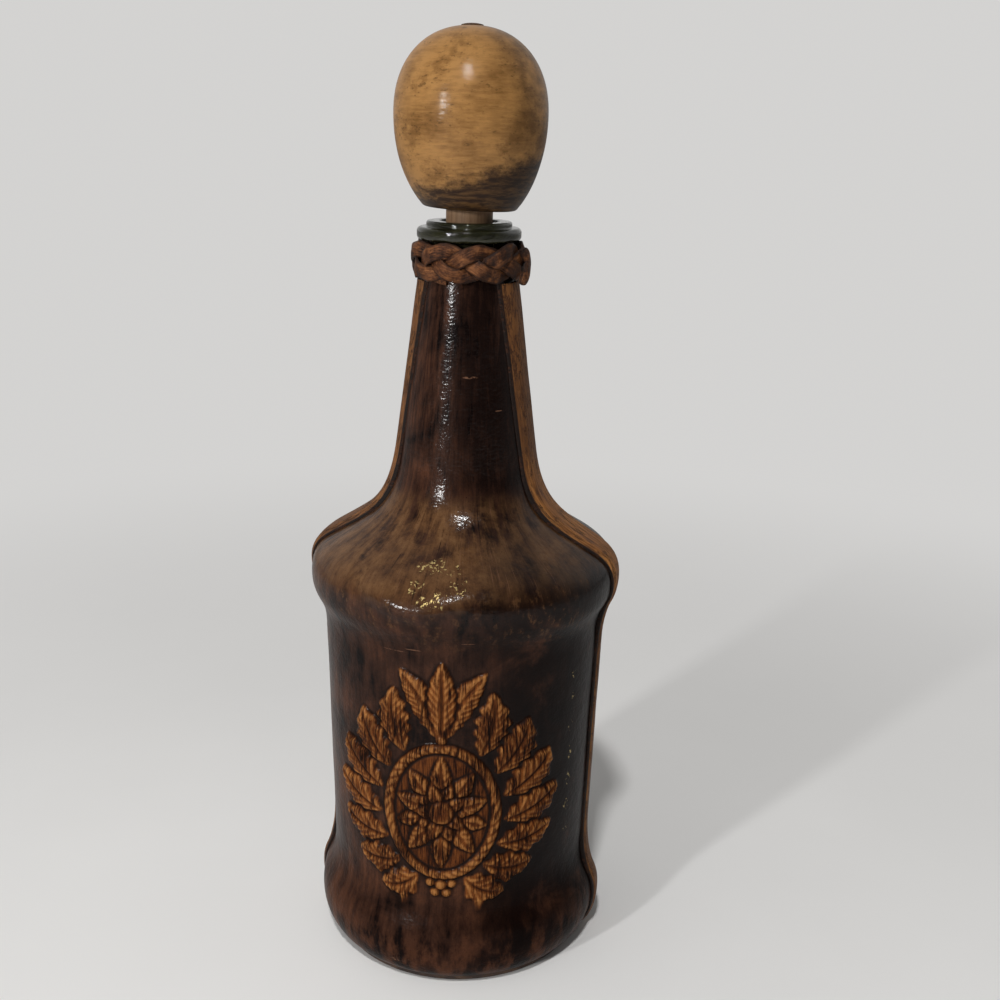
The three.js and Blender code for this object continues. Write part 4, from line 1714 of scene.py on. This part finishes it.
@dataclass
class GlassBottle:
    """Green glass bottle inside the covers, of which the ringed lip shows."""

    body: DressedBody
    finish: GreenGlass = field(default_factory=GreenGlass)
    skin: float = 2.5
    wall: float = 2.6
    base: float = 5.0
    heel: float = 5.5
    punt_radius: float = 28.0
    punt_height: float = 4.0
    lip_gap: float = 3.2
    ring_proud: float = 4.6
    ring_height: float = 3.9
    ring_rounding: float = 1.3
    rim_proud: float = 1.7
    rim_height: float = 1.8
    rim_roundings: Pair = (0.7, 0.8)
    lip_fillets: Pair = (0.6, 0.4)
    pace: float = 2.0

    def outline(self) -> np.ndarray:
        """Draws the glass from the middle of its punt up the outside and down the bore.

        Returns:
            Points of (radius, height).
        """
        line = self.body.outline()
        line = spaced(line, paced([0, travel(line)[-1]], [self.pace]))
        normal = outward(line)
        outside, inside = line - normal * self.skin, line - normal * (self.skin + self.wall)
        foot = self.body.foot_edge_z
        floor = foot + self.base
        inside = inside[inside[:, 1] > floor + self.heel][::-1]
        neck = self.body.neck_radius - self.skin
        bore = neck - self.wall
        ring_z = self.body.top_z + self.lip_gap
        rim_z = ring_z + self.ring_height
        lip_z = rim_z + self.rim_height
        under = bezier((0, foot + self.punt_height), (self.punt_radius / 3, foot + self.punt_height),
                       (self.punt_radius * 0.7, foot), (self.punt_radius, foot), 12)
        over = bezier((self.punt_radius, floor), (self.punt_radius * 0.7, floor),
                      (self.punt_radius / 3, floor + self.punt_height), (0, floor + self.punt_height), 12)
        ring, rim = neck + self.ring_proud, neck + self.rim_proud
        lip = rounded([(*outside[-1], 0), (neck, ring_z, self.lip_fillets[0]),
                       (ring, ring_z, self.ring_rounding), (ring, rim_z, self.ring_rounding),
                       (rim, rim_z, self.lip_fillets[1]), (rim, lip_z, self.rim_roundings[0]),
                       (bore, lip_z, self.rim_roundings[1]), (*inside[0], 0)])
        start, end = outside[0], inside[-1]
        heel = bezier((start[0] - self.heel, foot), (start[0] - 1, foot), start - (0, 1), start, 8)
        well = bezier(end, end - (0, self.heel * 0.6), (end[0] - 2, floor), (end[0] - self.heel, floor), 8)
        return np.concatenate([under, heel[:-1], outside[:-1], lip[:-1], inside[:-1], well, over])

    def build(self) -> None:
        """Makes and dresses the bottle."""
        settle(turned("bottle_glass", self.outline(), crease=60.0), Body.BOTTLE, self.finish,
               self.finish.material(), "glass_bottle")


@dataclass
class PlaitedCollar:
    """Three laces plaited round the neck under the lip, with a folded end and a short tail."""

    body: DressedBody
    finish: LaceLeather = field(default_factory=LaceLeather)
    lace_width: float = 5.1
    lace_thickness: float = 1.25
    lace_rounding: float = 0.42
    dark_edge: Pair = (0.36, 0.5)
    laces: int = 3
    plaits: int = 3
    start: float = 60.0
    wave: float = 3.4
    depth: float = 1.2
    tilt: float = 0.4
    curl: float = 0.2
    gap: float = 0.3
    uneven_width: float = 0.12
    uneven_lean: float = 0.10
    uneven_height: float = 0.25
    uneven_waves: Pair = (9.0, 40.0)
    uneven_round: float = 30.0
    seed: int = 53
    grain_apart: Pair = (90.0, 40.0)
    stations: int = 72
    sides: int = 20
    middle_z: float = 230.2
    loop_bearing: float = 74.0
    loop_half: Pair = (2.1, 3.7)
    loop_stations: int = 37
    loop_round: float = 4.0
    loop_width: float = 4.1
    loop_reach: float = 122.0
    loop_rise: float = 1.2
    loop_drop: float = 1.1
    loop_sink: float = 0.7
    loop_uneven: float = 0.12
    loop_waves: Pair = (2.0, 7.0)
    loop_seed: int = 61
    loop_dark_edge: Pair = (0.40, 0.5)
    tail_bearing: float = -52.0
    tail_sweep: float = 34.0
    tail_drop: float = 1.6
    tail_lift: float = 0.15
    tail_width: float = 2.6
    tail_thickness: float = 0.9
    tail_taper: float = 0.5
    tail_stations: int = 25

    @property
    def radius(self) -> float:
        """Radius of the middle of the plait."""
        return self.body.neck_radius + self.gap + self.depth + self.lace_thickness / 2

    def section(self) -> np.ndarray:
        """Draws a lace's section of width and thickness 1: a flat bar with soft edges.

        Returns:
            A closed loop of (place through the lace, place across it).
        """
        around = (np.arange(self.sides) + 0.5) / self.sides * TURN
        thick = np.sign(np.cos(around)) * np.abs(np.cos(around)) ** self.lace_rounding / 2
        wide = np.sin(around) / 2
        return np.stack([thick, wide], axis=1)

    def lace(self, number: int) -> bpy.types.Object:
        """Plaits one lace.

        Args:
            number: Which of the laces, from 0.

        Returns:
            The object.
        """
        count = self.plaits * self.stations
        turn = np.arange(count) / count * TURN
        wave = turn * self.plaits + number * TURN / self.laces + math.radians(self.start)
        climb = self.wave * self.plaits * np.cos(wave) / self.radius
        jitter = ripple(np.cos(turn) * self.uneven_round, np.sin(turn) * self.uneven_round,
                        self.seed + number, *self.uneven_waves)
        wide = self.lace_width * np.hypot(1, climb) * (1 + self.uneven_width * jitter)
        lean = -self.tilt * np.cos(self.laces * wave) + self.uneven_lean * jitter
        middle_r = self.radius + self.depth * np.sin(2 * wave)
        middle_z = self.middle_z + self.wave * np.sin(wave) + self.uneven_height * jitter
        section = self.section()
        thick = self.lace_thickness * section[None, :, 0]
        aside = wide[:, None] * section[None, :, 1]
        flare = -aside * np.sin(lean)[:, None]
        r = middle_r[:, None] + thick * np.cos(lean)[:, None] + np.minimum(flare, self.curl * flare)
        z = middle_z[:, None] + thick * np.sin(lean)[:, None] + aside * np.cos(lean)[:, None]
        loops = np.stack([r * np.cos(turn)[:, None], r * np.sin(turn)[:, None], z], axis=-1)
        along = np.repeat((turn * self.radius + self.grain_apart[0] * number)[:, None], self.sides, axis=1)
        marks = {"along": along, "across": aside + self.grain_apart[1] * number,
                 "edge": ease(*self.dark_edge, np.abs(np.repeat(section[None, :, 1], count, axis=0)))}
        return lofted(f"lace_{number + 1}", loops, marks, ring=True)

    def loop(self, seat: float) -> bpy.types.Object:
        """Bends the laces' joined ends into a small loop on the outside of the plait.

        Args:
            seat: Radius that the loop lies on.

        Returns:
            The object.
        """
        swing = np.radians(np.linspace(-self.loop_reach, self.loop_reach, self.loop_stations))[:, None]
        section = self.section()[None]
        aside = self.loop_width * section[..., 1] + 0 * swing
        waver = ripple(swing * self.loop_round, aside, self.loop_seed, *self.loop_waves)
        r = (seat + self.loop_rise * (0.5 + 0.5 * np.cos(swing)) + self.loop_uneven * waver
             + self.lace_thickness * (0.5 + section[..., 0]))
        turn = math.radians(self.loop_bearing) + (self.loop_half[0] + aside) * np.cos(swing) / r
        z = self.middle_z - self.loop_drop + (self.loop_half[1] + aside) * np.sin(swing)
        loops = np.stack([r * np.sin(turn), -r * np.cos(turn), z], axis=-1)
        marks = {"along": swing * sum(self.loop_half) / 2 + 0 * aside, "across": aside,
                 "edge": ease(*self.loop_dark_edge, np.abs(section[..., 1]) + 0 * swing)}
        return lofted("lace_knot", loops, marks)

    def tail(self) -> bpy.types.Object:
        """Lays the cut end of a lace on the neck, coming out from under the plait.

        Returns:
            The object.
        """
        share = np.linspace(0, 1, self.tail_stations)
        turn = np.radians(self.tail_bearing + self.tail_sweep * share)[:, None]
        section = self.section()
        lowest = self.middle_z - self.wave - self.lace_width / 2
        z = (lowest + self.tail_drop * np.cos(TURN / 4 * share))[:, None]
        lift = self.tail_lift + self.tail_thickness * (0.5 + section[None, :, 0])
        r = np.interp(z, *self.body.outline()[:, ::-1].T) + lift
        up = z + section[None, :, 1] * self.tail_width * (1 - self.tail_taper * share[:, None] ** 3)
        loops = np.stack([r * np.sin(turn), -r * np.cos(turn), up], axis=-1)
        marks = {"along": np.degrees(turn) + 0 * up, "across": up,
                 "edge": ease(*self.dark_edge, np.abs(np.repeat(section[None, :, 1], len(share), axis=0)))}
        return lofted("lace_tail", loops, marks)

    def build(self) -> None:
        """Makes and dresses the laces, the folded end and the tail."""
        material = self.finish.material()
        for number in range(self.laces):
            settle(self.lace(number), Body.BOTTLE, self.finish, material, f"collar_lace_{number + 1}")
        outer = self.radius + self.depth + self.lace_thickness / 2
        settle(self.loop(outer - self.loop_sink), Body.BOTTLE, self.finish, material, "collar_knot")
        settle(self.tail(), Body.BOTTLE, self.finish, material)


@dataclass
class Stopper:
    """Turned egg knob with its plug, on a dowel that carries a cork sleeve."""

    knob_finish: KnobWood = field(default_factory=KnobWood)
    plug_finish: PlugWood = field(default_factory=PlugWood)
    dowel_finish: DowelWood = field(default_factory=DowelWood)
    cork_finish: CorkBark = field(default_factory=CorkBark)
    fit: float = 0.3
    egg_cut: float = 27.4
    egg_fall: float = 34.5
    fullness: float = 2.2
    socket_depth: float = 16.0
    cork_wall: float = 4.0
    cork_taper: float = 0.6
    base_rounding: float = 0.7
    base_blend: int = 4
    belly_steps: int = 40
    crown_steps: int = 60
    plug_proud: float = 0.55
    base_slant: float = 0.04
    slant_reach: float = 14.0
    sides: int = 72
    plug_sides: int = 48

    def crown(self, r: np.ndarray) -> np.ndarray:
        """Works out the height of the egg's upper side.

        Args:
            r: Distances from the axis.

        Returns:
            The heights there.
        """
        low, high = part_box("stopper_knob")
        middle, top = low.z / MM + self.egg_cut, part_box("knob_plug")[1].z / MM - self.plug_proud
        share = 1 - (np.asarray(r) / (high.x / MM)) ** self.fullness
        return middle + (top - middle) * share ** (1 / self.fullness)

    def knob(self) -> bpy.types.Object:
        """Turns the egg, with its dowel socket below and its plug hole on top.

        Returns:
            The object.
        """
        low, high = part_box("stopper_knob")
        radius, base = high.x / MM, low.z / MM
        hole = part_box("stopper_dowel")[1].x / MM + self.fit
        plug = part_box("knob_plug")[1].x / MM + self.fit
        swing = np.linspace(-math.asin(self.egg_cut / self.egg_fall), 0, self.belly_steps)[:-1]
        heights = base + self.egg_cut + self.egg_fall * np.sin(swing)
        belly = np.stack([radius * np.cos(swing), heights], axis=1)
        r = radius * np.cos(np.linspace(0, math.acos(plug / radius), self.crown_steps))
        socket_top = base + self.socket_depth
        below = rounded([(0, socket_top, 0), (hole, socket_top, 0), (hole, base, 0.4),
                         (belly[0, 0], base, self.base_rounding), (*belly[self.base_blend], 0)])
        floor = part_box("knob_plug")[0].z / MM - self.fit
        above = np.array([(plug, floor), (0, floor)])
        crown = np.stack([r, self.crown(r)], axis=1)
        egg = turned("knob", np.concatenate([below, belly[self.base_blend + 1:], crown, above]))
        for vertex in egg.data.vertices:
            share = max(0.0, 1 - (vertex.co.z / MM - base) / self.slant_reach)
            vertex.co.z -= self.base_slant * share * vertex.co.x
        return egg

    def plug(self) -> bpy.types.Object:
        """Turns the plug in the knob's top, with a low domed end that stands a little proud.

        Returns:
            The object.
        """
        low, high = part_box("knob_plug")
        edge, base, top = high.x / MM, low.z / MM, high.z / MM
        rim = float(self.crown(edge)) + self.plug_proud / 2
        outline = rounded([(0, base, 0), (edge, base, 0.2), (edge, rim, 0.3), (edge / 2, top, 1.2),
                           (0, top, 0)])
        return turned("knob_top_plug", outline, sides=self.plug_sides)

    def dowel(self) -> bpy.types.Object:
        """Turns the dowel, stepped down where the cork sleeve sits on it.

        Returns:
            The object.
        """
        low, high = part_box("stopper_dowel")
        cork_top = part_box("stopper_cork")[1].z / MM
        edge, base, top = high.x / MM, low.z / MM, high.z / MM
        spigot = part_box("stopper_cork")[1].x / MM - self.cork_wall - self.fit
        outline = rounded([(0, base, 0), (spigot, base, 0.6), (spigot, cork_top + self.fit, 0),
                           (edge, cork_top + self.fit, 0.4), (edge, top, 0.5), (0, top, 0)])
        return turned("dowel", outline, sides=self.sides)

    def cork(self) -> bpy.types.Object:
        """Turns the cork sleeve, open through its middle.

        Returns:
            The object.
        """
        low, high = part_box("stopper_cork")
        edge, base, top = high.x / MM, low.z / MM, high.z / MM
        bore = edge - self.cork_wall
        corners = np.array(rounded([(bore, base, 0), (edge - self.cork_taper, base, 0.8), (edge, top, 0.8),
                                    (bore, top, 0)]))
        bearing = np.arange(self.sides) / self.sides * TURN
        loops = np.stack([np.outer(np.cos(bearing), corners[:, 0]), np.outer(np.sin(bearing), corners[:, 0]),
                          np.repeat(corners[None, :, 1], self.sides, axis=0)], axis=-1)
        return lofted("cork_sleeve", loops, ring=True)

    def build(self) -> None:
        """Makes and dresses the knob, plug, dowel and cork."""
        for piece, finish, node in ((self.knob(), self.knob_finish, "stopper_knob"),
                                    (self.plug(), self.plug_finish, "knob_plug"),
                                    (self.dowel(), self.dowel_finish, "stopper_dowel"),
                                    (self.cork(), self.cork_finish, "stopper_cork")):
            settle(piece, Body.STOPPER, finish, finish.material(), node)


# The studio

@dataclass(frozen=True)
class Lamp:
    """A soft rectangular lamp, placed by its bearing from the front, height angle and distance."""

    name: str
    bearing: float
    height: float
    distance: float
    width: float
    tall: float
    watts: float
    colour: Colour = (1.0, 1.0, 1.0)

    def hang(self, aim: Vector) -> None:
        """Adds the lamp, turned towards a point.

        Args:
            aim: The point, in metres.
        """
        turn, rise = math.radians(self.bearing), math.radians(self.height)
        away = Vector((math.sin(turn) * math.cos(rise), -math.cos(turn) * math.cos(rise), math.sin(rise)))
        light = bpy.data.lights.new(self.name, "AREA")
        light.shape = "RECTANGLE"
        light.size, light.size_y = self.width * MM, self.tall * MM
        light.energy, light.color = self.watts, self.colour
        lamp = bpy.data.objects.new(self.name, light)
        lamp.location = aim + away * self.distance * MM
        lamp.rotation_euler = away.to_track_quat("Z", "Y").to_euler()
        bpy.context.scene.collection.objects.link(lamp)


@dataclass
class Studio:
    """Pale floor, plain soft light and the camera."""

    floor_half: float = 12000.0
    floor_colour: Colour = (0.86, 0.852, 0.838)
    floor_mottle: float = 0.97
    mottle_size: float = 120.0
    haze_near: float = 110.0
    haze_far: float = 650.0
    backdrop: Colour = (0.655, 0.648, 0.638)
    ambient_left: float = 0.76
    ambient_right: float = 0.09
    ambient_reach: Pair = (-0.8, 0.8)
    room_dim: float = 0.08
    room_bright: float = 1.0
    room_reach: Pair = (-0.35, 0.55)
    aim: Triple = (0.0, 0.0, 150.0)
    lamps: tuple[Lamp, ...] = (
        Lamp("window_lamp", -33.0, 15.0, 1300.0, 66.0, 118.0, 7.6),
        Lamp("ceiling_lamp", 1.0, 51.0, 1300.0, 86.0, 86.0, 9.0),
        Lamp("fill_lamp", 118.0, 32.0, 1500.0, 900.0, 900.0, 0.6),
    )
    lens: float = 46.8
    sensor: float = 36.0
    camera_at: Triple = (55.3, -403.4, 272.1)
    heading: float = 96.2
    pitch: float = 16.34
    roll: float = 1.35
    sight: Pair = (0.01, 50.0)

    def lay_floor(self) -> None:
        """Lays the pale floor with a faint mottling."""
        corners = np.array([(-1, -1, 0), (1, -1, 0), (1, 1, 0), (-1, 1, 0)]) * self.floor_half
        floor = piece_of("floor", corners, [(0, 1, 2, 3)])
        bench = NodeBench("floor_paper")
        cloud = bench.noise(bench.place, self.mottle_size, detail=3.0)
        darker = tuple(c * self.floor_mottle for c in self.floor_colour)
        x, y, _ = bench.axes(bench.place)
        away = bench.sum("POWER", bench.sum("ADD", bench.times(x, x), bench.times(y, y)), 0.5)
        seen = bench.node("ShaderNodeLightPath").outputs["Is Camera Ray"]
        haze = bench.times(seen, bench.mask(away, self.haze_near * MM, self.haze_far * MM))
        paper = bench.ramp(cloud, (0.3, darker), (0.7, self.floor_colour))
        bench.surface(base_color=bench.mix(haze, paper, (0.0, 0.0, 0.0)), roughness=0.9,
                      specular_ior_level=0.0, emission_color=self.backdrop, emission_strength=haze)
        floor.data.materials.append(bench.material)

    def light_room(self) -> None:
        """Sets the world: a pale backdrop, a room that mirrors as dim in front, and fill from the left."""
        world = bpy.data.worlds.new("studio_room")
        bpy.context.scene.world = world
        world.use_nodes = True
        nodes, links = world.node_tree.nodes, world.node_tree.links
        shade = nodes["Background"]
        place = nodes.new("ShaderNodeTexCoord")
        axes = nodes.new("ShaderNodeSeparateXYZ")
        depth, across = nodes.new("ShaderNodeMapRange"), nodes.new("ShaderNodeMapRange")
        path = nodes.new("ShaderNodeLightPath")
        gloss = nodes.new("ShaderNodeMix")
        seen = nodes.new("ShaderNodeMix")
        through = nodes.new("ShaderNodeMath")
        through.operation = "MAXIMUM"
        links.new(place.outputs["Generated"], axes.inputs[0])
        links.new(axes.outputs[1], depth.inputs[0])
        links.new(axes.outputs[0], across.inputs[0])
        for node, values in ((depth, (*self.room_reach, self.room_dim, self.room_bright)),
                             (across, (*self.ambient_reach, self.ambient_left, self.ambient_right))):
            for socket, value in zip(node.inputs[1:5], values):
                socket.default_value = value
        low, high = MIX_NUMBERS
        links.new(path.outputs["Is Glossy Ray"], gloss.inputs[MIX_SHARE])
        links.new(across.outputs[0], gloss.inputs[low])
        links.new(depth.outputs[0], gloss.inputs[high])
        links.new(path.outputs["Is Camera Ray"], through.inputs[0])
        links.new(path.outputs["Is Transmission Ray"], through.inputs[1])
        links.new(through.outputs[0], seen.inputs[MIX_SHARE])
        links.new(gloss.outputs[0], seen.inputs[low])
        seen.inputs[high].default_value = 1.0
        shade.inputs["Color"].default_value = (*self.backdrop, 1.0)
        links.new(seen.outputs[0], shade.inputs["Strength"])
        for lamp in self.lamps:
            lamp.hang(Vector(self.aim) * MM)

    def stand_camera(self) -> None:
        """Places the camera at the photograph's angle."""
        turn, dip, tip = (math.radians(v) for v in (self.heading, self.pitch, self.roll))
        ahead = Vector((math.cos(turn) * math.cos(dip), math.sin(turn) * math.cos(dip), -math.sin(dip)))
        right = Vector((math.sin(turn), -math.cos(turn), 0.0))
        up = right.cross(ahead)
        across = right * math.cos(tip) + up * math.sin(tip)
        rise = up * math.cos(tip) - right * math.sin(tip)
        data = bpy.data.cameras.new("camera")
        data.lens, data.sensor_width = self.lens, self.sensor
        data.clip_start, data.clip_end = self.sight
        camera = bpy.data.objects.new("camera", data)
        axes = Matrix((across, rise, -ahead)).transposed().to_4x4()
        camera.matrix_world = Matrix.Translation(Vector(self.camera_at) * MM) @ axes
        bpy.context.scene.collection.objects.link(camera)
        bpy.context.scene.camera = camera

    def build(self) -> None:
        """Sets up the floor, the light and the camera."""
        bpy.context.scene.view_settings.view_transform = "Standard"
        self.lay_floor()
        self.light_room()
        self.stand_camera()
        log.info("studio: %d lamps", len(self.lamps))


def main() -> None:
    """Builds the decanter part by part and the studio round it."""
    logging.basicConfig(level=logging.INFO, format="%(name)s: %(message)s")
    body = DressedBody()
    parts = (Studio(), BaseSole(), GlassBottle(body), LeatherCovers(body), SideStrips(body),
             PlaitedCollar(body), Stopper())
    for part in parts:
        part.build()


if __name__ == "__main__":
    main()
